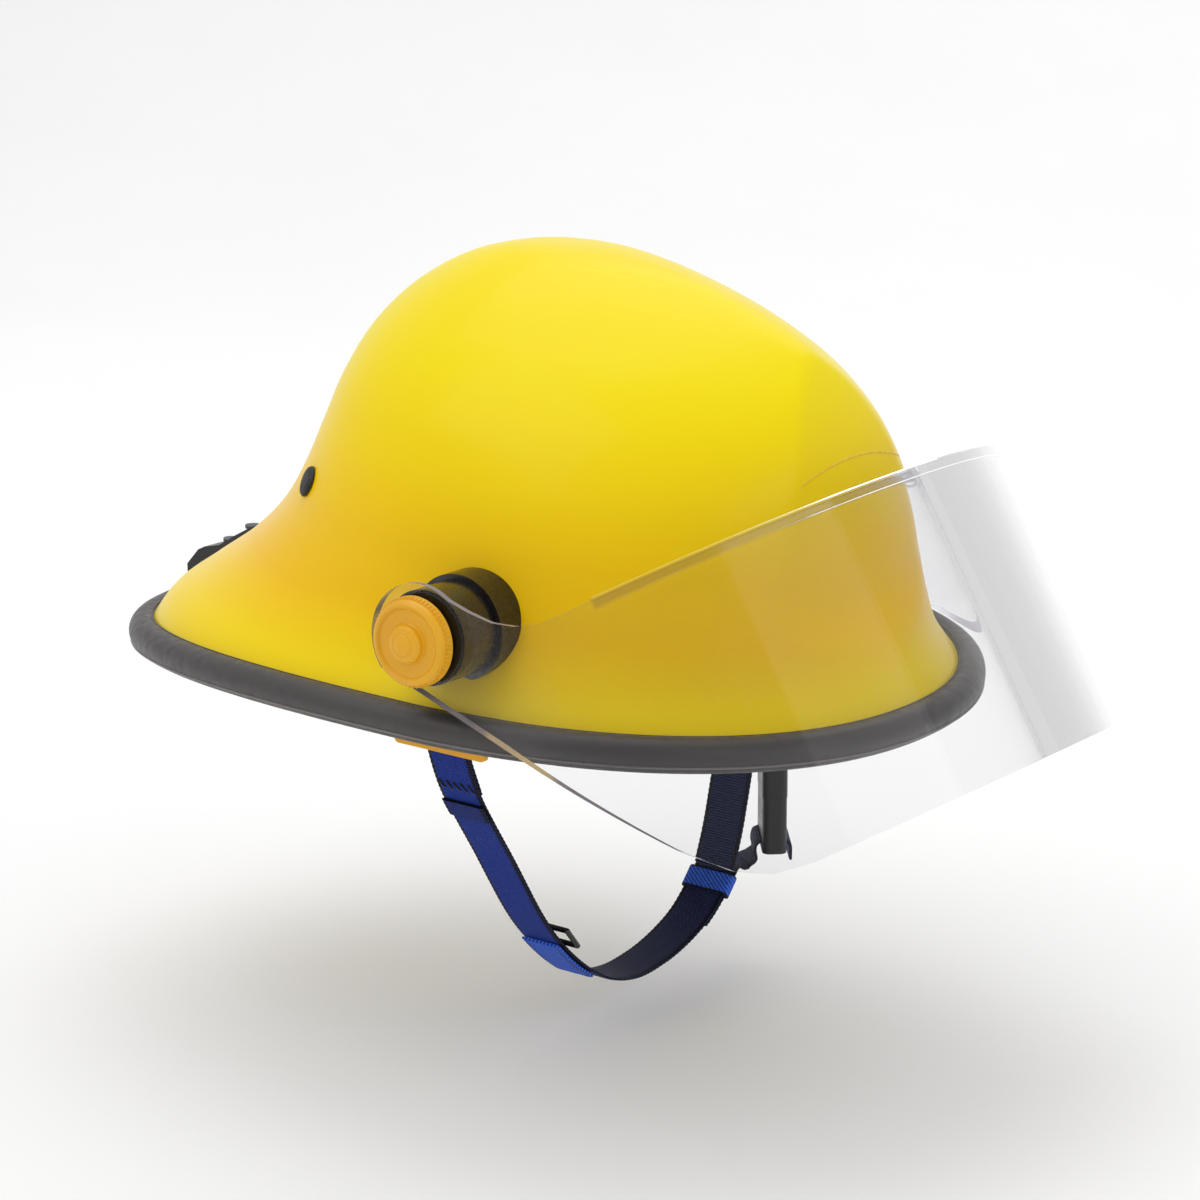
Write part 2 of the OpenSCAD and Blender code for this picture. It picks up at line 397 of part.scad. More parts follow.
// Doubled webbing from the keeper to the plug of the buckle, as x, y and z
LINK = [[0, 60.7, -124.8], [0, 66.9, -120.8], [0, 72.1, -116.7], [0, 76.1, -112.7], [0, 80.6, -108.2], [-3.2, 88, -107.2], [-3.6, 95.5, -108.6],
  [-0.6, 101, -109.4], [2.9, 104.3, -106.4], [2.7, 104, -102.2], [3.35, 104.2, -98.9], [5.64, 105.9, -97.7], [11.15, 110.2, -97.4], [13.4, 112.05, -98.2],
  [14.2, 112.8, -100.5], [14.2, 113.2, -105.5]];
function smooth(r, n) = [for (k = [0:(len(r) - 1) * n]) let (p = along(r, k / n)) [0, p[0], p[1]]];
module chin_webbing_right() color([0.12, 0.22, 0.62]) {
  eye();
  band(smooth(ROUTE_R, 2), web_w, web_t);
  q = [for (k = [0:2 * (len(LINK) - 1)]) along(LINK, k / 2)];
  band(q, web_w, web_t, [for (v = q) let (f = max(0, min(1, (v[1] - 84) / 18))) [1 - 0.384 * f, -0.786 * f, -0.055 * f]]);
  band([for (q = [[-104, -13.2], [-102.7, -17.6], [-95.8, -31.6]]) [0, q[0], q[1]]], web_w, web_t);
}
module chin_webbing_left() color([0.12, 0.22, 0.62]) {
  mirror_y() eye();
  q = [for (k = [0:2 * (len(ROUTE_L) - 1)]) along(ROUTE_L, k / 2)];
  band(q, web_w, web_t, [for (v = q) turned(v[2])]);
}
module chin_guard_flap() color([0.12, 0.2, 0.55]) band(smooth(FLAP, 2), web_w, web_t);
// Wire slide near the chin
module strap_slide() color([0.05, 0.05, 0.05]) translate([0, -38.4, -103.6]) rotate([-47.5, 0, 0]) {
  for (y = [-5.4, 5.4]) translate([-11.2, y, 1.2]) rotate([0, 90, 0]) cylinder(r = 1.1, h = 22.4);
  for (x = [-11.2, 11.2]) translate([x, -5.4, 1.2]) rotate([-90, 0, 0]) cylinder(r = 1.1, h = 10.8);
  for (x = [-11.2, 11.2], y = [-5.4, 5.4]) translate([x, y, 1.2]) sphere(r = 1.1, $fn = 24);
}
// Sewn keeper where the webbing is doubled below the buckle
module strap_keeper() color([0.15, 0.3, 0.75]) difference() {
  translate([0, 75, -111.3]) rotate([48, 0, 0]) translate([-web_w / 2 - 1.5, -5, -3.9]) cube([web_w + 3, 10, 6]);
  translate([0, 75, -111.3]) rotate([48, 0, 0]) translate([-web_w / 2 - 0.35, -8, -2.9]) cube([web_w + 0.7, 16, 4]);
}
// Side release buckle hanging outside the flap
module at_buckle() translate([8, 104, -44]) rotate([4, 0, 0]) rotate([0, 0, -52]) children();
module buckle_socket() color([0.05, 0.05, 0.05]) at_buckle() difference() {
  translate([0, 0, -34]) linear_extrude(34) hull() for (x = [-10, 10], y = [-1.2, 3.2]) translate([x, y]) circle(r = 3, $fn = 32);
  translate([-8.6, -1.7, -36]) cube([17.2, 5.4, 28]);
  translate([-9, -7, -7]) cube([18, 16, 1.8]);
  translate([-9.9, 0.05, -4.2]) cube([19.8, 1.9, 5]);
}
module buckle_plug() color([0.05, 0.05, 0.05]) at_buckle() difference() {
  union() {
    translate([0, 0, -58]) linear_extrude(23.9) hull() for (x = [-10, 10], y = [-1, 3]) translate([x, y]) circle(r = 3, $fn = 32);
    for (x = [-7.8, 4.6]) translate([x, -0.9, -34.2]) cube([3.2, 3.8, 22]);
    translate([-1.3, -0.9, -34.2]) cube([2.6, 3.8, 24]);
  }
  translate([-9.6, -8, -55]) cube([19.2, 16, 2.6]);
}

shell();
edge_trim();
visor_sheet();
visor_edge_strip();
pivot_boss_right();
pivot_boss_left();
friction_washers();
pivot_bolts();
bolt_spacers();
visor_knob_right();
visor_knob_left();
strap_bracket_right();
strap_bracket_left();
strap_pivot_pins();
side_plugs();
rear_clip();
rear_clip_rivets();
impact_liner();
crown_straps();
crown_pad();
suspension_hangers();
brow_bracket();
brow_pin();
brow_pad();
headband_left();
headband_right();
sweatband_left();
sweatband_right();
ratchet_housing();
ratchet_cover();
ratchet_screws();
ratchet_arms();
nape_pad();
ratchet_pinion();
ratchet_knob();
chin_anchor_right();
chin_anchor_left();
chin_webbing_right();
chin_webbing_left();
chin_guard_flap();
strap_slide();
strap_keeper();
buckle_socket();
buckle_plug();
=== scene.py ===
import math
import bpy
import numpy as np
from mathutils import Matrix


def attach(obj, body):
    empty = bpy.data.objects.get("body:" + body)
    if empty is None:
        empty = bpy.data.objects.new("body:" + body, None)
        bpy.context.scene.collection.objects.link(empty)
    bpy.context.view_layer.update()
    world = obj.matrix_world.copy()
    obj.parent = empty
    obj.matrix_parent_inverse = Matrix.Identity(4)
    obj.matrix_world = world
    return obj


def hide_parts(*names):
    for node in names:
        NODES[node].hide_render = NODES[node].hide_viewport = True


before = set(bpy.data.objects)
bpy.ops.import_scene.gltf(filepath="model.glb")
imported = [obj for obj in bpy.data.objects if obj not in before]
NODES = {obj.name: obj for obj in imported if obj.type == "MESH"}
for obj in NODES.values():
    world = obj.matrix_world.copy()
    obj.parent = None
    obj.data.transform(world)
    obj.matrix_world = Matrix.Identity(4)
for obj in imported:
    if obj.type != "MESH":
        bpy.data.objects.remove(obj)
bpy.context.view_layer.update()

MM = 0.001
scene = bpy.context.scene


# ------------------------------------------------------------------ meshes
def make(name, verts, faces, mats, uvs=None, idx=None, smooth=True, sharp=None):
    me = bpy.data.meshes.new(name)
    v = np.asarray(verts, float) * MM
    me.from_pydata(v.tolist(), [], faces)
    for m in mats:
        me.materials.append(m)
    if idx is not None:
        me.polygons.foreach_set("material_index", np.asarray(idx, np.int32))
    if smooth:
        me.polygons.foreach_set("use_smooth", np.ones(len(me.polygons), bool))
    if uvs is not None:
        layer = me.uv_layers.new(name="UVMap")
        loops = np.empty(len(me.loops), np.int32)
        me.loops.foreach_get("vertex_index", loops)
        layer.data.foreach_set("uv", np.asarray(uvs, np.float32)[loops].ravel())
    me.update()
    if sharp is not None:
        me.set_sharp_from_angle(angle=math.radians(sharp))
    o = bpy.data.objects.new(name, me)
    scene.collection.objects.link(o)
    return o


def grid_faces(n, m, wrap_n=False, wrap_m=False, off=0, flip=False):
    i = np.arange(n if wrap_n else n - 1)
    j = np.arange(m if wrap_m else m - 1)
    I, J = np.meshgrid(i, j, indexing="ij")
    a = I * m + J
    b = I * m + (J + 1) % m
    c = ((I + 1) % n) * m + (J + 1) % m
    d = ((I + 1) % n) * m + J
    q = np.stack([a, b, c, d], -1).reshape(-1, 4) + off
    if flip:
        q = q[:, ::-1]
    return q.tolist()


def unit(v):
    v = np.asarray(v, float)
    return v / np.maximum(np.linalg.norm(v, axis=-1, keepdims=True), 1e-12)


def spline(points, n):
    """Catmull-Rom through points, n samples per span."""
    p = np.asarray(points, float)
    k = len(p) - 1
    t = np.linspace(0, k, k * n + 1)
    i = np.clip(np.floor(t).astype(int), 0, k - 1)
    f = (t - i)[:, None]
    b, c = p[i], p[i + 1]
    a = np.where((i == 0)[:, None], 2 * b - c, p[np.clip(i - 1, 0, k)])
    d = np.where((i == k - 1)[:, None], 2 * c - b, p[np.clip(i + 2, 0, k)])
    return 0.5 * (2 * b + (c - a) * f + (2 * a - 5 * b + 4 * c - d) * f ** 2 + (3 * b - a - 3 * c + d) * f ** 3)


def resample(p, step):
    s = np.concatenate([[0], np.cumsum(np.linalg.norm(np.diff(p, axis=0), axis=1))])
    n = max(2, int(round(s[-1] / step)) + 1)
    t = np.linspace(0, s[-1], n)
    return np.stack([np.interp(t, s, p[:, k]) for k in range(p.shape[1])], -1), t


def tube(name, path, r, mats, seg=12, closed=False, flat=1.0):
    """Round bar along a path."""
    p = np.asarray(path, float)
    n = len(p)
    d = unit(np.roll(p, -1, 0) - np.roll(p, 1, 0)) if closed else unit(np.gradient(p, axis=0))
    ref = np.array([0, 0, 1.0])
    ring = []
    u = None
    for k in range(n):
        if u is None:
            u = np.cross(d[k], ref)
            if np.linalg.norm(u) < 1e-3:
                u = np.cross(d[k], [1, 0, 0])
        else:
            u = u - d[k] * np.dot(u, d[k])
        u = u / np.linalg.norm(u)
        w = np.cross(d[k], u)
        a = np.linspace(0, 2 * np.pi, seg, endpoint=False)
        ring.append(p[k] + r * (np.cos(a)[:, None] * u + flat * np.sin(a)[:, None] * w))
    v = np.concatenate(ring)
    f = grid_faces(n, seg, closed, True)
    if not closed:
        v = np.concatenate([v, [p[0] - d[0] * r * 0.7, p[-1] + d[-1] * r * 0.7]])
        e = n * seg
        f += [[(j + 1) % seg, j, e] for j in range(seg)]
        b = (n - 1) * seg
        f += [[b + j, b + (j + 1) % seg, e + 1] for j in range(seg)]
    return make(name, v, f, mats)


def join(objs, name):
    """One mesh object out of several made here."""
    vs, fs, mi, mats, uv = [], [], [], [], []
    base = 0
    for o in objs:
        me = o.data
        co = np.empty(len(me.vertices) * 3)
        me.vertices.foreach_get("co", co)
        vs.append(co.reshape(-1, 3) / MM)
        slot = []
        for m in me.materials:
            if m not in mats:
                mats.append(m)
            slot.append(mats.index(m))
        for p in me.polygons:
            fs.append([base + k for k in p.vertices])
            mi.append(slot[p.material_index])
        base += len(me.vertices)
        bpy.data.objects.remove(o)
    return make(name, np.concatenate(vs), fs, mats, idx=mi)


# --------------------------------------------------------------- materials
class Mat:
    """A Principled material with a small node helper."""

    def __init__(self, name, **k):
        self.m = bpy.data.materials.new(name)
        self.m.use_nodes = True
        self.nt = self.m.node_tree
        self.b = self.nt.nodes["Principled BSDF"]
        for key, val in k.items():
            s = key.replace("_", " ")
            s = {"Base Color": "Base Color", "IOR": "IOR"}.get(s, s)
            self.b.inputs[s].default_value = val

    def n(self, kind, **k):
        node = self.nt.nodes.new(kind)
        for key, val in k.items():
            if key.startswith("i_"):
                node.inputs[key[2:].replace("_", " ")].default_value = val
            else:
                setattr(node, key, val)
        return node

    def l(self, a, b):
        self.nt.links.new(a, b)

    def coords(self, which="Object", scale=(1, 1, 1), rot=(0, 0, 0)):
        tc = self.n("ShaderNodeTexCoord")
        mp = self.n("ShaderNodeMapping")
        mp.inputs["Scale"].default_value = scale
        mp.inputs["Rotation"].default_value = rot
        self.l(tc.outputs[which], mp.inputs["Vector"])
        return mp.outputs["Vector"]

    def noise(self, vec, scale, detail=4, rough=0.55):
        t = self.n("ShaderNodeTexNoise", i_Scale=scale, i_Detail=detail, i_Roughness=rough)
        self.l(vec, t.inputs["Vector"])
        return t.outputs["Fac"]

    def wave(self, vec, scale, direction="X", dist=0.0, profile="SIN", phase=0.0):
        t = self.n("ShaderNodeTexWave", wave_type="BANDS", bands_direction=direction, wave_profile=profile)
        t.inputs["Scale"].default_value = scale
        t.inputs["Distortion"].default_value = dist
        t.inputs["Phase Offset"].default_value = phase
        self.l(vec, t.inputs["Vector"])
        return t.outputs["Fac"]

    def ramp(self, fac, stops):
        r = self.n("ShaderNodeValToRGB")
        e = r.color_ramp.elements
        e[0].position, e[0].color = stops[0][0], (*stops[0][1], 1)
        e[1].position, e[1].color = stops[-1][0], (*stops[-1][1], 1)
        for p, c in stops[1:-1]:
            x = e.new(p)
            x.color = (*c, 1)
        self.l(fac, r.inputs["Fac"])
        return r.outputs["Color"]

    def span(self, fac, lo, hi, a=0.0, b=1.0):
        r = self.n("ShaderNodeMapRange")
        r.inputs["From Min"].default_value = a
        r.inputs["From Max"].default_value = b
        r.inputs["To Min"].default_value = lo
        r.inputs["To Max"].default_value = hi
        self.l(fac, r.inputs["Value"])
        return r.outputs["Result"]

    def math(self, op, a, b=None):
        t = self.n("ShaderNodeMath", operation=op)
        for k, v in enumerate([a, b]):
            if v is None:
                continue
            if isinstance(v, (int, float)):
                t.inputs[k].default_value = v
            else:
                self.l(v, t.inputs[k])
        return t.outputs[0]

    def bump(self, height, dist, strength=1.0, into=None):
        t = self.n("ShaderNodeBump")
        t.inputs["Distance"].default_value = dist
        t.inputs["Strength"].default_value = strength
        self.l(height, t.inputs["Height"])
        if into is not None:
            self.l(into, t.inputs["Normal"])
        return t.outputs["Normal"]

    def to(self, socket, out):
        self.l(out, self.b.inputs[socket])
        return self


def s2l(*c):
    return tuple(((x / 255) / 12.92 if x <= 10 else (((x / 255) + 0.055) / 1.055) ** 2.4) for x in c)


def plastic(name, rgb, rough, grain=900, depth=0.00004, var=0.12, coat=0.0, ior=1.5, wear=0.1):
    """Moulded plastic or rubber: fine grain, faint colour and gloss change."""
    c = s2l(*rgb)
    m = Mat(name, Roughness=rough)
    m.b.inputs["IOR"].default_value = ior
    m.b.inputs["Coat Weight"].default_value = coat
    m.b.inputs["Coat Roughness"].default_value = 0.08
    v = m.coords()
    big = m.noise(v, 38, 5)
    m.to("Base Color", m.ramp(big, [(0.3, tuple(x * (1 - var) for x in c)), (0.7, tuple(min(1, x * (1 + var)) for x in c))]))
    fine = m.noise(v, 260, 3)
    m.to("Roughness", m.span(fine, max(0.02, rough - wear), min(1, rough + wear), 0.3, 0.7))
    m.to("Normal", m.bump(m.noise(v, grain, 2), depth, 0.6))
    return m.m


def metal(name, rgb, rough):
    m = Mat(name, Metallic=1.0, Roughness=rough)
    c = s2l(*rgb)
    v = m.coords()
    m.to("Base Color", m.ramp(m.noise(v, 120, 4), [(0.3, tuple(x * 0.85 for x in c)), (0.7, c)]))
    st = m.coords(scale=(1, 1, 14))
    m.to("Roughness", m.span(m.noise(st, 160, 5), rough - 0.08, rough + 0.12, 0.3, 0.7))
    m.to("Normal", m.bump(m.noise(st, 420, 2), 0.00002, 0.5))
    return m.m


def webbing(name, base, dark, kind):
    """Woven strap. UV is in millimetres: U along the strap, V across it."""
    m = Mat(name, Roughness=0.62)
    m.b.inputs["Sheen Weight"].default_value = 0.02
    m.b.inputs["Sheen Roughness"].default_value = 0.4
    m.b.inputs["Specular IOR Level"].default_value = 0.16
    uv = m.coords("UV")
    b, d = s2l(*base), s2l(*dark)
    mid = tuple((x + y) / 2 for x, y in zip(b, d))
    if kind == "twill":
        dg = m.coords("UV", rot=(0, 0, math.radians(52)))
        w1 = m.wave(dg, 0.3142 / 1.35, "X", 0.6)
        w2 = m.wave(uv, 0.3142 / 0.9, "Y", 0.3)
        h = m.math("ADD", m.math("MULTIPLY", w1, 0.7), m.math("MULTIPLY", w2, 0.3))
        speck = m.noise(uv, 0.9, 2)
        k = m.math("ADD", m.math("MULTIPLY", h, 0.75), m.math("MULTIPLY", speck, 0.5))
        col = m.ramp(k, [(0.36, d), (0.5, mid), (0.66, b), (0.95, tuple(min(1, x * 1.35) for x in b))])
    elif kind == "rib":
        w1 = m.wave(uv, 0.3142 / 1.05, "X", 0.4)
        w2 = m.wave(uv, 0.3142 / 0.8, "Y", 0.4)
        h = m.math("ADD", m.math("MULTIPLY", w1, 0.8), m.math("MULTIPLY", w2, 0.2))
        col = m.ramp(h, [(0.15, d), (0.6, mid), (0.95, b)])
    else:
        w1 = m.wave(uv, 0.3142 / 1.3, "X", 0.3)
        w2 = m.wave(uv, 0.3142 / 1.0, "Y", 0.3)
        h = m.math("MULTIPLY", w1, w2)
        col = m.ramp(h, [(0.05, d), (0.35, mid), (0.85, b)])
    fz = m.noise(uv, 6.0, 3)
    m.to("Base Color", col)
    hh = m.math("ADD", h, m.math("MULTIPLY", fz, 0.35))
    m.to("Normal", m.bump(hh, 0.0003, 0.85))
    m.to("Roughness", m.span(fz, 0.5, 0.8, 0.3, 0.7))
    return m.m


def fabric(name, base, dark, scale=1500, depth=0.00012):
    """Knitted or brushed cloth in object space."""
    m = Mat(name, Roughness=0.85)
    m.b.inputs["Sheen Weight"].default_value = 0.4
    m.b.inputs["Sheen Roughness"].default_value = 0.5
    m.b.inputs["Specular IOR Level"].default_value = 0.2
    v = m.coords()
    a = m.wave(v, scale * 0.05, "DIAGONAL", 1.5)
    c = m.wave(v, scale * 0.05, "Z", 1.0)
    n = m.noise(v, scale, 2)
    h = m.math("ADD", m.math("MULTIPLY", a, c), m.math("MULTIPLY", n, 0.5))
    m.to("Base Color", m.ramp(h, [(0.2, s2l(*dark)), (1.0, s2l(*base))]))
    m.to("Normal", m.bump(h, depth, 0.8))
    return m.m


def yellow_shell():
    m = Mat("shell_yellow", Roughness=0.32)
    m.b.inputs["IOR"].default_value = 1.5
    m.b.inputs["Coat Weight"].default_value = 0.08
    m.b.inputs["Coat Roughness"].default_value = 0.12
    v = m.coords()
    m.b.inputs["Specular IOR Level"].default_value = 0.12
    big = m.noise(v, 9, 4)
    sep = m.n("ShaderNodeSeparateXYZ")
    m.l(v, sep.inputs[0])
    # painted shade and light: by height, the base colour runs deeper orange in the concave band about 40-60 mm above
    # the brim, where shade falls, and paler towards the lit crown; the noise adds random tone
    painted_shade_and_tone = m.math("ADD", m.span(sep.outputs["Z"], 0.0, 0.9, -0.01, 0.12), m.math("MULTIPLY", big, 0.12))
    m.to("Base Color", m.ramp(painted_shade_and_tone, [(0.0, s2l(240, 211, 0)), (0.22, s2l(240, 208, 0)), (0.37, s2l(239, 190, 0)), (0.55, s2l(239, 194, 0)), (0.75, s2l(240, 208, 0)), (1.0, s2l(240, 219, 0))]))
    peel = m.noise(v, 210, 2)
    streak = m.coords(scale=(1, 6, 1.6), rot=(0.3, 0.1, 0.4))
    scuff = m.noise(streak, 60, 8, 0.7)
    m.to("Roughness", m.math("ADD", m.span(big, 0.28, 0.36, 0.3, 0.7), m.span(scuff, 0, 0.12, 0.62, 0.8)))
    m.to("Normal", m.bump(peel, 0.00005, 0.3))
    return m.m


def clear(name, tint, rough, amount):
    """Thin clear sheet: transmission with a faint tint and hazy wipe marks."""
    m = Mat(name, Roughness=rough)
    m.b.inputs["Base Color"].default_value = (*tint, 1)
    m.b.inputs["Transmission Weight"].default_value = amount
    m.b.inputs["IOR"].default_value = 1.22
    v = m.coords(scale=(1, 3, 1))
    m.to("Roughness", m.span(m.noise(v, 40, 6), rough, rough + 0.006, 0.5, 0.8))
    return m.m


M = {}
M["shell_yellow"] = yellow_shell()
M["knob_yellow"] = plastic("knob_yellow", (224, 164, 0), 0.42, 1100, 0.00003, 0.05, 0.03)
M["anchor_yellow"] = plastic("anchor_yellow", (238, 170, 8), 0.42, 1100, 0.00003, 0.06)
M["trim_rubber"] = plastic("trim_rubber", (62, 58, 58), 0.46, 1400, 0.00004, 0.1)
M["trim_light"] = plastic("trim_light", (112, 108, 106), 0.5, 1400, 0.00003, 0.1)
M["black_plastic"] = plastic("black_plastic", (22, 21, 22), 0.36, 1300, 0.00004, 0.2)
M["barrel_black"] = plastic("barrel_black", (22, 17, 16), 0.27, 700, 0.00002, 0.2, 0.15)
M["black_rubber"] = plastic("black_rubber", (30, 29, 29), 0.6, 1200, 0.00006, 0.2)
M["band_plastic"] = plastic("band_plastic", (40, 41, 44), 0.45, 1100, 0.00005, 0.12)
M["pinion_plastic"] = plastic("pinion_plastic", (208, 200, 172), 0.45, 1100, 0.00004, 0.06)
M["steel"] = metal("steel", (196, 196, 200), 0.26)
M["dark_steel"] = metal("dark_steel", (90, 90, 94), 0.36)
M["black_metal"] = plastic("black_metal", (16, 16, 17), 0.28, 500, 0.00002, 0.2, 0.3)
M["liner_foam"] = fabric("liner_foam", (74, 76, 80), (46, 47, 50), 700, 0.0002)
M["pad_fabric"] = fabric("pad_fabric", (58, 58, 62), (22, 22, 24), 1500, 0.00014)
M["blue_outer"] = webbing("blue_outer", (20, 52, 146), (5, 11, 46), "twill")
M["blue_inner"] = webbing("blue_inner", (44, 56, 112), (10, 12, 30), "rib")
M["blue_rib"] = webbing("blue_rib", (22, 54, 146), (8, 14, 46), "rib")
M["blue_bright"] = webbing("blue_bright", (58, 102, 214), (24, 44, 124), "twill")
M["selvedge"] = webbing("selvedge", (18, 24, 62), (6, 8, 22), "plain")
M["black_webbing"] = webbing("black_webbing", (52, 52, 56), (14, 14, 16), "plain")
M["thread_black"] = fabric("thread_black", (26, 26, 28), (8, 8, 9), 2600, 0.00006)
M["thread_grey"] = fabric("thread_grey", (88, 88, 92), (40, 40, 44), 2600, 0.00006)
M["visor_clear"] = clear("visor_clear", (0.895, 0.897, 0.905), 0.0, 1.0)
M["strip_clear"] = clear("strip_clear", (0.87, 0.86, 0.9), 0.03, 1.0)
M["visor_edge"] = clear("visor_edge", (0.42, 0.39, 0.47), 0.12, 0.5)
M["shell_line"] = plastic("shell_line", (228, 186, 0), 0.3, 900, 0.00002, 0.05)

CAD_MATERIAL = {
    "shell": "shell_yellow", "edge_trim": "trim_rubber", "visor_sheet": "visor_clear", "visor_edge_strip": "strip_clear",
    "pivot_boss_right": "barrel_black", "pivot_boss_left": "barrel_black", "friction_washers": "black_rubber",
    "pivot_bolts": "steel", "bolt_spacers": "steel", "visor_knob_right": "knob_yellow", "visor_knob_left": "knob_yellow",
    "strap_bracket_right": "black_plastic", "strap_bracket_left": "black_plastic", "strap_pivot_pins": "steel",
    "side_plugs": "black_rubber", "rear_clip": "black_plastic", "rear_clip_rivets": "dark_steel",
    "impact_liner": "liner_foam", "crown_straps": "black_webbing", "crown_pad": "pad_fabric",
    "suspension_hangers": "black_plastic", "brow_bracket": "black_plastic", "brow_pin": "steel", "brow_pad": "pad_fabric",
    "headband_left": "band_plastic", "headband_right": "band_plastic", "sweatband_left": "pad_fabric",
    "sweatband_right": "pad_fabric", "ratchet_housing": "black_plastic", "ratchet_cover": "black_plastic",
    "ratchet_screws": "steel", "ratchet_arms": "black_plastic", "nape_pad": "pad_fabric",
    "ratchet_pinion": "pinion_plastic", "ratchet_knob": "black_rubber", "chin_anchor_right": "anchor_yellow",
    "chin_anchor_left": "anchor_yellow", "chin_webbing_right": "blue_outer", "chin_webbing_left": "blue_outer",
    "chin_guard_flap": "blue_outer", "strap_slide": "black_metal", "strap_keeper": "blue_bright",
    "buckle_socket": "black_plastic", "buckle_plug": "black_plastic"}
for name, o in NODES.items():
    m = M[CAD_MATERIAL[name]]
    for s in o.material_slots:
        s.material = m

# ------------------------------------------------------------------- shell
ROWS = np.array([
    [135, -0.5, -204, -12, 131, 2.5, 0, 0.93, 0.95], [128, 8, -192, 6, 124.5, 11, 0, 0.94, 0.95],
    [122.5, 18, -175, 19, 118, 20, 0, 0.95, 0.96], [118, 31, -155.5, 33, 111.5, 33, -1, 0.9, 0.98],
    [116, 48, -138, 50, 107.5, 49, -3, 0.95, 1], [115.5, 66, -126, 68, 104, 66, -6, 1.05, 1],
    [113, 85, -117.5, 87, 98, 85, -9, 1.18, 1], [106, 104, -111, 105, 88.5, 104, -13, 1.36, 1.02],
    [93.5, 121, -102.5, 122, 74.5, 121, -17, 1.6, 1.05], [73.5, 135, -90.5, 136, 57.5, 135, -20, 1.85, 1.1],
    [43.5, 146, -74, 147, 40.5, 146, -22, 1.8, 1.15], [12, 154, -54.5, 155, 23, 154, -24, 1.67, 1.2],
    [-25, 160, -25, 160, 0, 160, -25, 1.6, 1.2]], float)
CREST = spline([[124, 20], [112, 40], [108.5, 60], [104.5, 84.5], [97.5, 103.5], [85.5, 125], [77, 132], [57, 141],
                [33.5, 149], [2.5, 155], [-25, 157], [-50, 155], [-78.5, 145.5], [-103.5, 127.5], [-122, 101],
                [-137, 72], [-156, 46], [-195, 27], [-250, 20.5]], 10)
CREST_A = np.arctan2(CREST[:, 1] - 20, CREST[:, 0] + 20)
CREST_D = np.hypot(CREST[:, 1] - 20, CREST[:, 0] + 20)


def row_at(u):
    n = 12
    u = np.asarray(u, float)
    i = np.clip(np.floor(u).astype(int), 0, n - 1)
    f = (u - i)[..., None]
    b, c = ROWS[i], ROWS[i + 1]
    a = np.where((i == 0)[..., None], 2 * b - c, ROWS[np.clip(i - 1, 0, n)])
    d = np.where((i == n - 1)[..., None], 2 * c - b, ROWS[np.clip(i + 2, 0, n)])
    return 0.5 * (2 * b + (c - a) * f + (2 * a - 5 * b + 4 * c - d) * f ** 2 + (3 * b - a - 3 * c + d) * f ** 3)


def S(u, a):
    """Outer surface of the shell at row u (0 brim, 12 crown) and angle a in radians, in millimetres."""
    u, a = np.broadcast_arrays(np.asarray(u, float), np.asarray(a, float))
    v = row_at(u)
    c, s = np.cos(a), np.sin(a)
    ac = np.abs(c)
    x = v[..., 6] + np.sign(c) * np.where(c > 0, v[..., 0] - v[..., 6], v[..., 6] - v[..., 2]) * ac ** 0.95
    y = v[..., 4] * np.sign(s) * np.abs(s) ** np.where(c > 0, v[..., 7], v[..., 8])
    z = v[..., 5] + (np.where(c > 0, v[..., 1], v[..., 3]) - v[..., 5]) * ac ** 2
    r = np.hypot(x + 20, z - 20)
    rb = np.interp(np.arctan2(z - 20, x + 20), CREST_A, CREST_D) - y * y / 440
    h = np.clip(0.5 + 0.5 * (rb - r) / 1.6, 0, 1)
    sm = rb * (1 - h) + r * h - 1.6 * h * (1 - h)
    k = np.where(z > 20, sm, r) / np.maximum(r, 0.001)
    return np.stack([-20 + (x + 20) * k, y, 20 + (z - 20) * k], -1)


def Nrm(u, a):
    da = math.radians(0.5)
    t = S(u, a + da) - S(u, a - da)
    w = S(np.minimum(11.9, np.asarray(u) + 0.06), a) - S(np.maximum(0, np.asarray(u) - 0.06), a)
    return unit(np.cross(t, w))


COLS = 720
ang = np.linspace(0, 2 * np.pi, COLS, endpoint=False)
# more rows where the side curves most
uu = np.concatenate([np.linspace(0, 3, 70, endpoint=False), np.linspace(3, 11.9, 230)])
ui = np.linspace(0, 11.9, 90)
outer = S(uu[:, None], ang[None])
inner = S(ui[:, None], ang[None]) - 3.0 * Nrm(ui[:, None], ang[None])
top = S(12.0, 0.0)[None]
no, ni = len(uu), len(ui)
verts = np.concatenate([outer.reshape(-1, 3), top, inner.reshape(-1, 3), top - [[0, 0, 3.0]]])
b0 = no * COLS + 1
faces = grid_faces(no, COLS, False, True)
faces += [[(no - 1) * COLS + j, (no - 1) * COLS + (j + 1) % COLS, b0 - 1] for j in range(COLS)]
faces += grid_faces(ni, COLS, False, True, off=b0, flip=True)
faces += [[b0 + (ni - 1) * COLS + (j + 1) % COLS, b0 + (ni - 1) * COLS + j, b0 + ni * COLS] for j in range(COLS)]
faces += [[(j + 1) % COLS, j, b0 + j, b0 + (j + 1) % COLS] for j in range(COLS)]
shell = make("shell_skin", verts, faces, [M["shell_yellow"]])
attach(shell, "helmet")
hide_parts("shell")

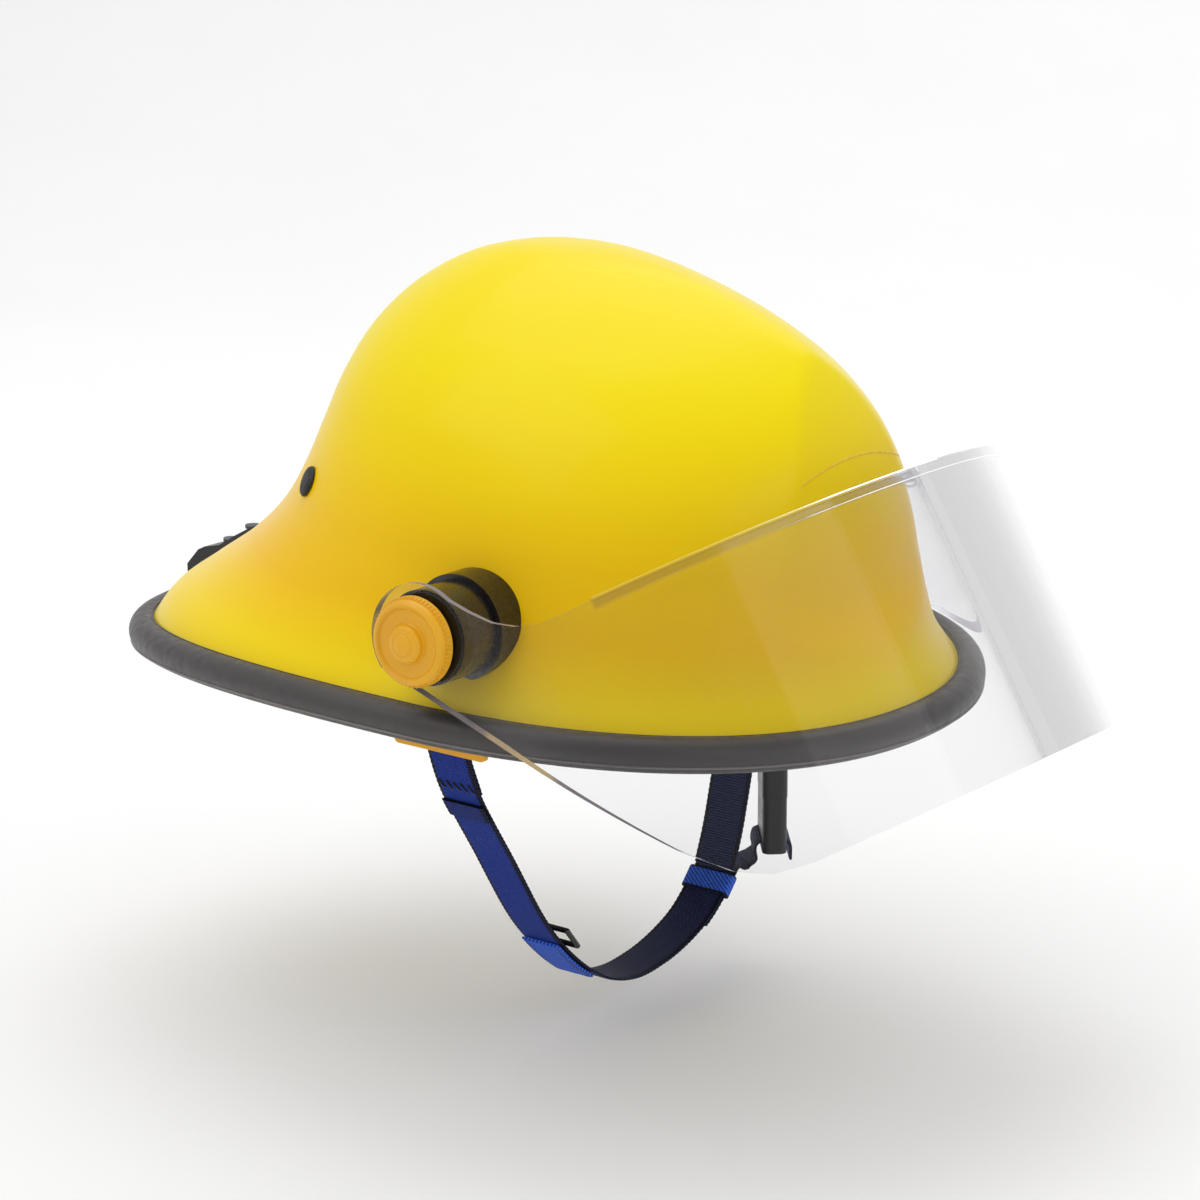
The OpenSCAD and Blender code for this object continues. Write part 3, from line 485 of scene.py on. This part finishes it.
# rubber bead along the brim
TA = np.linspace(0, 2 * np.pi, 480, endpoint=False)
p0 = S(np.zeros_like(TA), TA)
n0 = Nrm(np.zeros_like(TA), TA)
w0 = unit(S(np.zeros_like(TA), TA + 0.009) - S(np.zeros_like(TA), TA - 0.009))
t0 = unit(np.cross(n0, w0))
q = np.linspace(0, 2 * np.pi, 36, endpoint=False)
rr = 6.55
bead = p0[:, None] + rr * (np.cos(q)[None, :, None] * t0[:, None] + np.sin(q)[None, :, None] * n0[:, None])
trim = make("trim_bead", bead.reshape(-1, 3), grid_faces(480, 36, True, True, flip=True), [M["trim_rubber"]])
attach(trim, "helmet")
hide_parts("edge_trim")
for nm, deg, r in (("trim_lip", 158, 0.5), ("trim_seam", 12, 0.45)):
    c = p0 + (rr + 0.02) * (math.cos(math.radians(deg)) * t0 + math.sin(math.radians(deg)) * n0)
    lip = tube(nm, c, r, [M["trim_light"] if nm == "trim_lip" else M["trim_rubber"]], 8, True)
    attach(lip, "helmet")

# ------------------------------------------------------------- face shield
C32, S32 = math.cos(math.radians(32)), math.sin(math.radians(32))


def place(p):
    """Shield frame to the helmet frame, shield raised 32 degrees."""
    p = np.asarray(p, float)
    return np.stack([12.5 + p[..., 0] * C32 - p[..., 2] * S32, p[..., 1], 37 + p[..., 0] * S32 + p[..., 2] * C32], -1)


xs = 18 - 38.45 * np.cos(np.linspace(0, np.pi / 2, 44))[:-1]
xs[0] = -20.45
te = np.radians(np.linspace(-90, 90, 260))
px = np.concatenate([xs, 18 + 116 * np.cos(te), xs[::-1]])
py = np.concatenate([np.full(len(xs), -140.0), 140 * np.sin(te), np.full(len(xs), 140.0)])
ne = unit(np.stack([np.cos(te) / 116, np.sin(te) / 140], -1))
nn = np.concatenate([np.tile([[0, -1.0]], (len(xs), 1)), ne, np.tile([[0, 1.0]], (len(xs), 1))])
ct = np.radians(np.linspace(180, 30, 60))
up_x = np.concatenate([20.5 * np.cos(ct), [19.4, 25, 32, 40, 48.5, 58, 150]])
up_z = np.concatenate([20.5 * np.sin(ct), [7.4, 0.8, -6.4, -11.4, -14, -14.5, -14.5]])
lo_x = np.array([-20.5, -20.39, 23, 45.5, 59.5, 72, 82, 93, 150])
lo_z = np.array([0, -2.14, -57, -86.5, -105, -119, -125.5, -127.5, -127.5])
zt, zb = np.interp(px, up_x, up_z), np.interp(px, lo_x, lo_z)
zb = np.minimum(zb, zt - 0.05)
K = 9
fr = np.linspace(0, 1, K)
zz = zt[:, None] + (zb - zt)[:, None] * fr[None]


def wall(d):
    x = (px + d * nn[:, 0])[:, None] + 0 * zz
    y = (py + d * nn[:, 1])[:, None] + 0 * zz
    return np.stack([x, y, zz], -1)


L = len(px)
vo, vi = wall(1.2), wall(-1.2)
verts = place(np.concatenate([vo.reshape(-1, 3), vi.reshape(-1, 3)]))
o2 = L * K
faces = grid_faces(L, K, flip=True) + grid_faces(L, K, off=o2)
rim = []
for i in range(L - 1):
    rim.append([i * K, o2 + i * K, o2 + (i + 1) * K, (i + 1) * K][::-1])
    a, b = i * K + K - 1, (i + 1) * K + K - 1
    rim.append([a, o2 + a, o2 + b, b])
for k in range(K - 1):
    rim.append([k, k + 1, o2 + k + 1, o2 + k][::-1])
    a = (L - 1) * K + k
    rim.append([a, a + 1, o2 + a + 1, o2 + a])
idx = [0] * len(faces) + [1] * len(rim)
visor = make("visor_screen", verts, faces + rim, [M["visor_clear"], M["visor_edge"]], idx=idx, sharp=35)
# pivot holes
cut_v, cut_f = [], []
for sy in (-1, 1):
    a = np.linspace(0, 2 * np.pi, 48, endpoint=False)
    ringv = [np.stack([6.05 * np.cos(a), np.full(48, sy * 140 + dy), 6.05 * np.sin(a)], -1) for dy in (-4.0, 4.0)]
    base = len(cut_v) * 48
    cut_v += ringv
    cut_f += [[base + j, base + (j + 1) % 48, base + 48 + (j + 1) % 48, base + 48 + j] for j in range(48)]
    cut_f += [[base + j for j in range(47, -1, -1)], [base + 48 + j for j in range(48)]]
cutter = make("cutter", place(np.concatenate(cut_v)), cut_f, [M["visor_edge"]], smooth=False)
md = visor.modifiers.new("holes", "BOOLEAN")
md.operation, md.solver, md.object = "DIFFERENCE", "EXACT", cutter
bpy.context.view_layer.update()
done = bpy.data.meshes.new_from_object(visor.evaluated_get(bpy.context.evaluated_depsgraph_get()))
visor.modifiers.clear()
visor.data = done
bpy.data.objects.remove(cutter)
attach(visor, "visor")
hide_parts("visor_sheet")

t_end = math.acos((66.5 - 18) / 116)
ts = np.linspace(-t_end, t_end, 260)
prof = np.array([[2.0, -17.6], [2.3, -17.3], [2.3, -13.9], [1.9, -13.4], [-1.9, -13.4], [-2.3, -13.9], [-2.3, -17.3],
                 [-2.0, -17.6], [-1.23, -17.6], [-1.23, -14.45], [1.23, -14.45], [1.23, -17.6]])
en = unit(np.stack([np.cos(ts) / 116, np.sin(ts) / 140], -1))
sv = np.stack([(18 + 116 * np.cos(ts))[:, None] + en[:, :1] * prof[None, :, 0],
               (140 * np.sin(ts))[:, None] + en[:, 1:] * prof[None, :, 0],
               np.broadcast_to(prof[None, :, 1], (260, 12))], -1)
fs = grid_faces(260, 12, False, True, flip=False)
fs += [list(range(11, -1, -1)), [259 * 12 + k for k in range(12)]]
strip = make("visor_edge_channel", place(sv.reshape(-1, 3)), fs, [M["strip_clear"]], sharp=30)
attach(strip, "visor")
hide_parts("visor_edge_strip")

# ----------------------------------------------------------------- webbing
def ribbon(name, path, wd, w, t, mats, step=0.3, scallop=0.28, pitch=2.3, flip=False, cap=True, wave=0.0):
    """Woven strap along path. Materials: outer face, inner face, edge. UV in millimetres."""
    if np.ndim(wd[0]) == 0:
        wd = np.tile(np.asarray(wd, float), (len(path), 1))
    both, s = resample(np.concatenate([np.asarray(path, float), np.asarray(wd, float)], 1), step)
    p, wv = both[:, :3], unit(both[:, 3:])
    d = unit(np.gradient(p, axis=0))
    wv = unit(wv - d * np.sum(wv * d, 1, keepdims=True))
    h = unit(np.cross(d, wv)) * (-1 if flip else 1)
    n = len(p)
    cols = np.linspace(-1, 1, 13)
    half = w / 2 - 0.25 + scallop * 0.5 * (1 + np.cos(2 * np.pi * s / pitch)) * 0.8
    edge = np.where(np.abs(cols) > 0.86, 0.62, 1.0)
    body = 1 + 0.05 * np.cos(cols * 9)
    ht = t / 2 * edge * np.minimum(body, 1)
    sag = wave * np.sin(2 * np.pi * s / 23.0)
    up = p[:, None] + wv[:, None] * (cols[None, :, None] * half[:, None, None]) + h[:, None] * ht[None, :, None] + h[:, None] * sag[:, None, None]
    dn = p[:, None] + wv[:, None] * (cols[None, ::-1, None] * half[:, None, None]) - h[:, None] * ht[None, ::-1, None] + h[:, None] * sag[:, None, None]
    ring = np.concatenate([up, dn], 1)
    m = ring.shape[1]
    f = grid_faces(n, m, False, True, flip=not flip)
    j = np.tile(np.arange(m), n - 1)
    idx = np.where(j < 12, 0, np.where((j == 12) | (j == 25), 2, 1))
    idx = np.where((j == 0) | (j == 11) | (j == 13) | (j == 24), 2, idx)
    f += [list(range(m)) if not flip else list(range(m - 1, -1, -1)),
          [(n - 1) * m + k for k in (range(m - 1, -1, -1) if not flip else range(m))]]
    idx = np.concatenate([idx, [2, 2]])
    vv = np.concatenate([cols * w / 2, cols[::-1] * w / 2])
    uv = np.stack([np.repeat(s, m), np.tile(vv, n)], -1)
    return make(name, ring.reshape(-1, 3), f, mats, uvs=uv, idx=idx, sharp=50)


BLUE = [M["blue_outer"], M["blue_inner"], M["selvedge"]]
X1 = [1.0, 0, 0]
ROUTE_R = [(-105.2, -7.6), (-104.8, -12), (-103.9, -17), (-97, -31.5), (-87.2, -45.5), (-74.8, -62), (-54.7, -89.5),
           (-40, -105.5), (-22.5, -119.5), (-5, -129), (12, -133), (28, -132.5), (44, -129.5), (60, -123.5), (71, -115.5),
           (78, -107.5)]
ROUTE_L = [(0, 105.2, -7.6), (0, 105.6, -12), (1, 105.9, -20), (4.8, 105.4, -32), (8.8, 104.61, -43.96), (8.8, 104.85, -47.3)]
LINK = [(0, 60.7, -124.8), (0, 66.9, -120.8), (0, 72.1, -116.7), (0, 76.1, -112.7), (0, 80.6, -108.2), (-3.2, 88, -107.2), (-3.6, 95.5, -108.6),
        (-0.6, 101, -109.4), (2.9, 104.3, -106.4), (2.7, 104, -102.2), (3.35, 104.2, -98.9), (5.64, 105.9, -97.7), (11.15, 110.2, -97.4),
        (13.4, 112.05, -98.2), (14.2, 112.8, -100.5), (14.2, 113.2, -105.5)]
FLAP = [(79.2, -106), (84, -92), (87.5, -77), (90.5, -62), (92.5, -48)]


def yz(r):
    return np.array([[0, y, z] for y, z in r], float)


def near(path, k0, k1, off):
    """Piece of a route moved out by off."""
    d = unit(np.gradient(path, axis=0))
    h = unit(np.cross(d, np.tile(X1, (len(path), 1))))
    return path[k0:k1] + off * h[k0:k1]


right = spline(yz(ROUTE_R), 12)
eye_a = np.radians(np.linspace(-60, 250, 40))
parts = []


def eye(side):
    """Strap end sewn round the bar of the end plate."""
    y0, z0 = side * 105.2, -5.0
    c = np.stack([np.zeros(40), y0 + side * -1 * 2.15 * np.cos(eye_a), z0 + 2.15 * np.sin(eye_a)], -1)
    return c


web_r = ribbon("chin_strap_near", right, X1, 19, 1.4, BLUE)
eye_r = ribbon("chin_eye_near", eye(-1), X1, 19, 1.15, BLUE, flip=False, scallop=0.1)
fold = spline([[0, -104.1, -10.5], [0, -104, -13.2], [0, -102.7, -17.6], [0, -95.8, -31.6]], 10)
fold_r = ribbon("chin_fold_near", fold, X1, 18.6, 1.3, BLUE)
end_path = near(right, 40, 47, 1.35)
end_r = ribbon("chin_tab_near", end_path, X1, 18.8, 1.3, [M["blue_rib"], M["blue_rib"], M["selvedge"]])
turn = np.clip((-14 - spline(ROUTE_L, 12)[:, 2]) / 29, 0, 1)[:, None]
wd_l = np.array([[1.0, 0, 0]]) * (1 - turn) + np.array([[0.616, -0.786, -0.055]]) * turn
web_l = ribbon("chin_strap_far", spline(ROUTE_L, 12), wd_l, 19, 1.3, BLUE, flip=True)
eye_l = ribbon("chin_eye_far", eye(1), X1, 19, 1.15, BLUE, flip=False, scallop=0.1)
lk = spline(LINK, 12)
tl = np.clip((lk[:, 1:2] - 84) / 18, 0, 1)
link = ribbon("chin_link", lk, np.array([[1.0, 0, 0]]) * (1 - tl) + np.array([[0.616, -0.786, -0.055]]) * tl, 18.8, 1.3, BLUE)
flap = ribbon("chin_flap", spline(yz(FLAP), 12), X1, 19, 1.4, BLUE)
tail = near(right, 83, 100, 1.75)
tail[-1] += [0, 0, -0.3]
tail_o = ribbon("chin_tail", tail, X1, 17.6, 1.3, [M["blue_bright"], M["blue_bright"], M["blue_bright"]])
kp = np.array([[math.cos(a), math.sin(a)] for a in np.radians(np.linspace(0, 360, 61))])
kx = np.sign(kp[:, 0]) * np.abs(kp[:, 0]) ** 0.35 * 10.4
kz = np.sign(kp[:, 1]) * np.abs(kp[:, 1]) ** 0.45 * 2.45 - 0.9
c48, s48 = math.cos(math.radians(48)), math.sin(math.radians(48))
keep = np.stack([kx, 75 - s48 * kz, -111.3 + c48 * kz], -1)
keep_o = ribbon("chin_keeper", keep, [0, c48, s48], 9.8, 0.9, [M["blue_bright"], M["blue_bright"], M["selvedge"]], scallop=0.1, flip=False)
for o, rep, sl in ((web_r, ["chin_webbing_right"], "blue_webbing"), (eye_r, [], "blue_webbing"), (fold_r, [], "blue_webbing"),
                   (end_r, [], "blue_webbing"), (web_l, ["chin_webbing_left"], "blue_webbing"), (eye_l, [], "blue_webbing"),
                   (flap, ["chin_guard_flap"], "blue_webbing"), (link, [], "blue_webbing"), (tail_o, [], "blue_webbing"),
                   (keep_o, ["strap_keeper"], "blue_webbing")):
    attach(o, "chin_strap")
    if rep:
        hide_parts(*rep)


def stitches(name, pts, dirs, length, r, body, mat="thread_black"):
    """Rows of thread, each a short raised bar."""
    out = []
    for p, d in zip(pts, dirs):
        p, d = np.asarray(p, float), unit(d)
        k = np.linspace(-1, 1, 5)
        out.append(tube("s", p + np.outer(k, d) * length / 2, r, [M[mat]], 6))
    o = join(out, name)
    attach(o, body)
    return o


d_r = unit(np.gradient(right, axis=0))
h_r = unit(np.cross(d_r, np.tile(X1, (len(right), 1))))
k0 = 34
stitches("chin_bar_stitches", [right[k0] + h_r[k0] * 0.85 + np.array([x, 0, 0]) for x in (-6.6, -3.3, 0, 3.3, 6.6)],
         [d_r[k0] + 0.45 * np.array(X1)] * 5, 4.2, 0.42, "chin_strap")
tk = range(84, 99, 1)
stitches("chin_tail_stitches", [near(right, k, k + 1, 2.5)[0] + np.array([x, 0, 0]) for k in tk for x in (-7.4, 7.4)],
         [d_r[k] for k in tk for x in (0, 1)], 1.0, 0.2, "chin_strap", "thread_grey")
fp = spline(yz(FLAP), 12)
fd = unit(np.gradient(fp, axis=0))
fh = unit(np.cross(fd, np.tile(X1, (len(fp), 1))))
stitches("chin_flap_stitches", [fp[-3] - fh[-3] * 0.75 + np.array([x, 0, 0]) for x in np.arange(-7.5, 7.6, 1.5)]
         + [fp[-8] - fh[-8] * 0.75 + np.array([x, 0, 0]) for x in np.arange(-7.5, 7.6, 1.5)],
         [np.array(X1)] * 22, 1.0, 0.22, "chin_strap", "thread_grey")

# ------------------------------------------------- liner, straps and pads
LX, LZ = -12, 46


def egg(e, a, fr_, re_, sd, upz):
    c = np.cos(a)
    return np.stack([LX + np.where(c > 0, fr_, re_) * c * np.cos(e), sd * np.sin(a) * np.cos(e), LZ + upz * np.sin(e) + 0 * a], -1)


ea, aa = np.radians(np.linspace(0, 89, 64)), np.linspace(0, 2 * np.pi, 160, endpoint=False)
og = egg(ea[:, None], aa[None], 114.6, 109.6, 97.6, 102.6)
ig = egg(ea[::-1][:, None], aa[None], 98.4, 97.4, 81.4, 86.4)
# flat rim between the two skins
mid_o, mid_i = egg(np.zeros(1), aa, 114.6, 109.6, 97.6, 0), egg(np.zeros(1), aa, 98.4, 97.4, 81.4, 0)
rim_rows = []
for f in np.linspace(0, 1, 9)[1:-1]:
    r = mid_o * (1 - (1 - math.cos(math.pi * f)) / 2) + mid_i * ((1 - math.cos(math.pi * f)) / 2)
    r = r.copy()
    r[:, 2] = LZ + 0.0 - 0.0 * math.sin(math.pi * f)
    rim_rows.append(r)
rows = list(ig) + list(np.array(rim_rows)[::-1].reshape(-1, 160, 3)) + list(og)
V = np.concatenate(rows)
F = grid_faces(len(rows), 160, False, True, flip=False)
V = np.concatenate([V, [[LX, 0, LZ + 86.4], [LX, 0, LZ + 102.6]]])
F += [[(j + 1) % 160, j, len(V) - 2] for j in range(160)]
bt = (len(rows) - 1) * 160
F += [[bt + j, bt + (j + 1) % 160, len(V) - 1] for j in range(160)]
liner = make("liner_shell", V, F, [M["liner_foam"]], sharp=60)
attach(liner, "helmet")
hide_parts("impact_liner")

BLK = [M["black_webbing"], M["black_webbing"], M["black_webbing"]]
first = None
for k, deg in enumerate((35, 90, 145)):
    a = math.radians(deg)
    e = np.radians(np.linspace(0, 180, 61))
    ce = np.cos(e)
    sgn = np.sign(np.where(np.abs(ce) < 1e-9, 1, ce)) * math.cos(a)
    x = LX - 4 + math.cos(a) * np.where(sgn > 0, 94, 88) * ce
    pth = np.stack([x, 76 * math.sin(a) * ce, LZ - 4 + 82 * np.sin(e) + (k - 1) * 1.4], -1)
    st = ribbon("crown_strap_%d" % (k + 1), pth, [-math.sin(a), math.cos(a), 0], 20, 1.25, BLK, step=0.6)
    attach(st, "helmet")
    if k == 0:
        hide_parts("crown_straps")


def pillow(name, front, back, body, rep, bulge, n=60, m=22, seam=True):
    """Soft pad between two skins: front(s, h) and back(s, h) for s, h in -1 to 1, swollen by bulge towards the front."""
    s, h = np.meshgrid(np.linspace(-1, 1, n), np.linspace(-1, 1, m), indexing="ij")
    prof = (np.clip(1 - np.abs(s) ** 8, 0, 1) ** 0.5) * (np.clip(1 - np.abs(h) ** 4, 0, 1) ** 0.5)
    B, Fp = back(s, h), front(s, h)
    quilt = 1 - 0.1 * np.exp(-((h) ** 2) / 0.004) if seam else 1
    crease = 1 + bulge * 0.012 * np.sin(s * 31 + 3 * h) * np.cos(h * 9)
    Fv = B + (Fp - B) * (0.3 + 0.7 * prof * quilt * crease)[..., None]
    Bv = B + (Fp - B) * (0.02 + 0.1 * (1 - prof))[..., None]
    v = np.concatenate([Fv.reshape(-1, 3), Bv.reshape(-1, 3)])
    off = n * m
    f = grid_faces(n, m) + grid_faces(n, m, off=off, flip=True)
    for i in range(n - 1):
        f.append([i * m, off + i * m, off + (i + 1) * m, (i + 1) * m])
        a, b = i * m + m - 1, (i + 1) * m + m - 1
        f.append([a, b, off + b, off + a])
    for j in range(m - 1):
        f.append([j, j + 1, off + j + 1, off + j])
        a = (n - 1) * m + j
        f.append([a, off + a, off + a + 1, a + 1])
    o = make(name, v, f, [M["pad_fabric"]])
    sub = o.modifiers.new("soft", "SUBSURF")
    sub.levels = sub.render_levels = 1
    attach(o, body)
    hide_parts(rep)
    return o


def oval(t, d, z):
    return np.stack([-10 + (99 + d) * np.cos(t), (80 + d) * np.sin(t), z + 0 * t], -1)


for side, nm in ((1, "left"), (-1, "right")):
    t_mid, t_half = math.radians(70), math.radians(35.6)
    pillow("sweat_pad_" + nm,
           lambda s, h, q=side: oval(t_mid + t_half * s, -3.6, 13 + 14.3 * h) * np.array([1, q, 1]),
           lambda s, h, q=side: oval(t_mid + t_half * s, -0.4, 13 + 14.3 * h) * np.array([1, q, 1]),
           "headband_" + nm, "sweatband_" + nm, 1.0, n=90)
pillow("brow_cushion",
       lambda s, h: np.stack([-12.2 + (99 - 7.4) * np.cos(np.radians(27) * s), 73 * np.sin(np.radians(27) * s), 8.6 + 13.3 * h], -1),
       lambda s, h: np.stack([-12.2 + (99 - 2.5) * np.cos(np.radians(27) * s), 73 * np.sin(np.radians(27) * s), 8.6 + 13.3 * h], -1),
       "helmet", "brow_pad", 1.0, n=70)
pillow("nape_cushion",
       lambda s, h: np.stack([-96.5 + 0 * s, 27 * s * (1 - 0.1 * np.abs(h) ** 6), -2.5 + 19.3 * h * (1 - 0.08 * np.abs(s) ** 6)], -1),
       lambda s, h: np.stack([-101.3 + 0 * s, 27 * s * (1 - 0.1 * np.abs(h) ** 6), -2.5 + 19.3 * h * (1 - 0.08 * np.abs(s) ** 6)], -1),
       "helmet", "nape_pad", 1.0, n=50, m=36)


def disc(s, h, z):
    # square to disc
    x = s * np.sqrt(1 - h * h / 2)
    y = h * np.sqrt(1 - s * s / 2)
    return np.stack([-16 + 20.8 * x, 20.8 * y, z + 0 * s], -1)


pillow("crown_cushion", lambda s, h: disc(s, h, 115.7), lambda s, h: disc(s, h, 118.5), "helmet", "crown_pad", 1.0, n=40, m=40, seam=False)

# ------------------------------------------------------- oval line in front
ys = np.linspace(-36, 46, 90)
zs = 93.4 - 7.8 * ((ys - 2.0) / 42.0) ** 2
ua = np.stack([np.full(90, 7.3), np.radians(ys * 0.55)])
for _ in range(40):
    P = S(ua[0], ua[1])
    du, da = (S(ua[0] + 0.01, ua[1]) - P) / 0.01, (S(ua[0], ua[1] + 0.002) - P) / 0.002
    ey, ez = ys - P[:, 1], zs - P[:, 2]
    det = du[:, 1] * da[:, 2] - da[:, 1] * du[:, 2]
    ua[0] += 0.6 * np.clip((ey * da[:, 2] - da[:, 1] * ez) / det, -0.5, 0.5)
    ua[1] += 0.6 * np.clip((du[:, 1] * ez - ey * du[:, 2]) / det, -0.1, 0.1)
line = S(ua[0], ua[1])
ov = tube("front_oval_line", line[4:-4] + np.array([-0.12, 0, 0]), 0.36, [M["shell_line"]], 8)
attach(ov, "helmet")

# ------------------------------------------------------------ stage, lights
fl_z = -0.150
g = []
prof_y = [(-6.0, 0.0), (1.5, 0.0)] + [(1.5 + 2.0 * math.sin(a), 2.0 - 2.0 * math.cos(a)) for a in np.linspace(0, math.pi / 2, 24)[1:]] + [(3.5, 7.0)]
AZ = math.radians(34.1)
fwd = np.array([-math.sin(AZ), math.cos(AZ), 0.0])
rgt = np.array([math.cos(AZ), math.sin(AZ), 0.0])
for y, z in prof_y:
    for x in (-7.0, 7.0):
        g.append((fwd * y + rgt * x + np.array([0, 0, fl_z + z])) / MM)
floor_m = Mat("pale_floor", Roughness=0.7)
fv = floor_m.coords()
floor_m.to("Base Color", floor_m.ramp(floor_m.noise(fv, 3, 3), [(0.3, (0.8, 0.8, 0.8)), (0.7, (0.82, 0.82, 0.82))]))
floor_m.b.inputs["Emission Color"].default_value = (1, 1, 1, 1)
floor_m.b.inputs["Emission Strength"].default_value = 0.12
floor = make("floor", np.array(g), grid_faces(len(prof_y), 2, flip=True), [floor_m.m])


def area(name, pos, target, size, power, color=(1, 1, 1)):
    d = bpy.data.lights.new(name, "AREA")
    d.shape, d.size, d.size_y, d.energy, d.color = "RECTANGLE", size[0], size[1], power, color
    o = bpy.data.objects.new(name, d)
    scene.collection.objects.link(o)
    z = unit(np.array(pos) - np.array(target))
    x = unit(np.cross([0, 0, 1.0], z)) if abs(z[2]) < 0.99 else np.array([1.0, 0, 0])
    y = np.cross(z, x)
    o.matrix_world = Matrix(((x[0], y[0], z[0], pos[0]), (x[1], y[1], z[1], pos[1]), (x[2], y[2], z[2], pos[2]), (0, 0, 0, 1)))
    return o


upv = np.array([0, 0, 1.0])
area("key", tuple(-fwd * 0.75 - rgt * 1.35 + upv * 2.2), (0, 0, 0.03), (2.2, 1.8), 15)
area("fill", tuple(-fwd * 1.3 + rgt * 1.7 + upv * 0.7), (0, 0, 0.03), (1.6, 1.6), 9)
area("top", tuple(fwd * 0.4 + upv * 2.1), (0, 0, 0.05), (1.8, 1.8), 4.5)
area("back", tuple(fwd * 1.4 + upv * 1.8 + rgt * 0.4), (0, 1.6 * fwd[1], 0.3), (3.2, 1.4), 15)

world = bpy.data.worlds.new("studio")
scene.world = world
world.use_nodes = True
bg = world.node_tree.nodes["Background"]
bg.inputs["Color"].default_value = (1, 1, 1, 1)
wt = world.node_tree
tc = wt.nodes.new("ShaderNodeTexCoord")
dp = wt.nodes.new("ShaderNodeVectorMath")
dp.operation = "DOT_PRODUCT"
dp.inputs[1].default_value = (float(fwd[0] * 0.8 - rgt[0] * 0.6), float(fwd[1] * 0.8 - rgt[1] * 0.6), 0.0)
mr = wt.nodes.new("ShaderNodeMapRange")
mr.inputs["From Min"].default_value, mr.inputs["From Max"].default_value = -1.0, 0.5
mr.inputs["To Min"].default_value, mr.inputs["To Max"].default_value = 0.6, 0.76
wt.links.new(tc.outputs["Generated"], dp.inputs[0])
wt.links.new(dp.outputs["Value"], mr.inputs["Value"])
wt.links.new(mr.outputs["Result"], bg.inputs["Strength"])

# ------------------------------------------------------------------ camera
az, el, roll = math.radians(34.1), math.radians(15.5), math.radians(2.0)
back = np.array([math.sin(az) * math.cos(el), -math.cos(az) * math.cos(el), math.sin(el)])
rt = np.array([math.cos(az), math.sin(az), 0])
upc = np.cross(back, rt)
r2 = rt * math.cos(roll) + upc * math.sin(roll)
u2 = -rt * math.sin(roll) + upc * math.cos(roll)
cd = bpy.data.cameras.new("camera")
cam = bpy.data.objects.new("camera", cd)
scene.collection.objects.link(cam)
p = back * 1.5
cam.matrix_world = Matrix(((r2[0], u2[0], back[0], p[0]), (r2[1], u2[1], back[1], p[1]), (r2[2], u2[2], back[2], p[2]), (0, 0, 0, 1)))
cd.sensor_width, cd.lens = 36, 117
cd.shift_x, cd.shift_y = -13 / 1200, 54.5 / 1200
cd.clip_start, cd.clip_end = 0.05, 40
cd.dof.use_dof = False
scene.camera = cam
scene.view_settings.view_transform = "Standard"
scene.view_settings.look = "None"
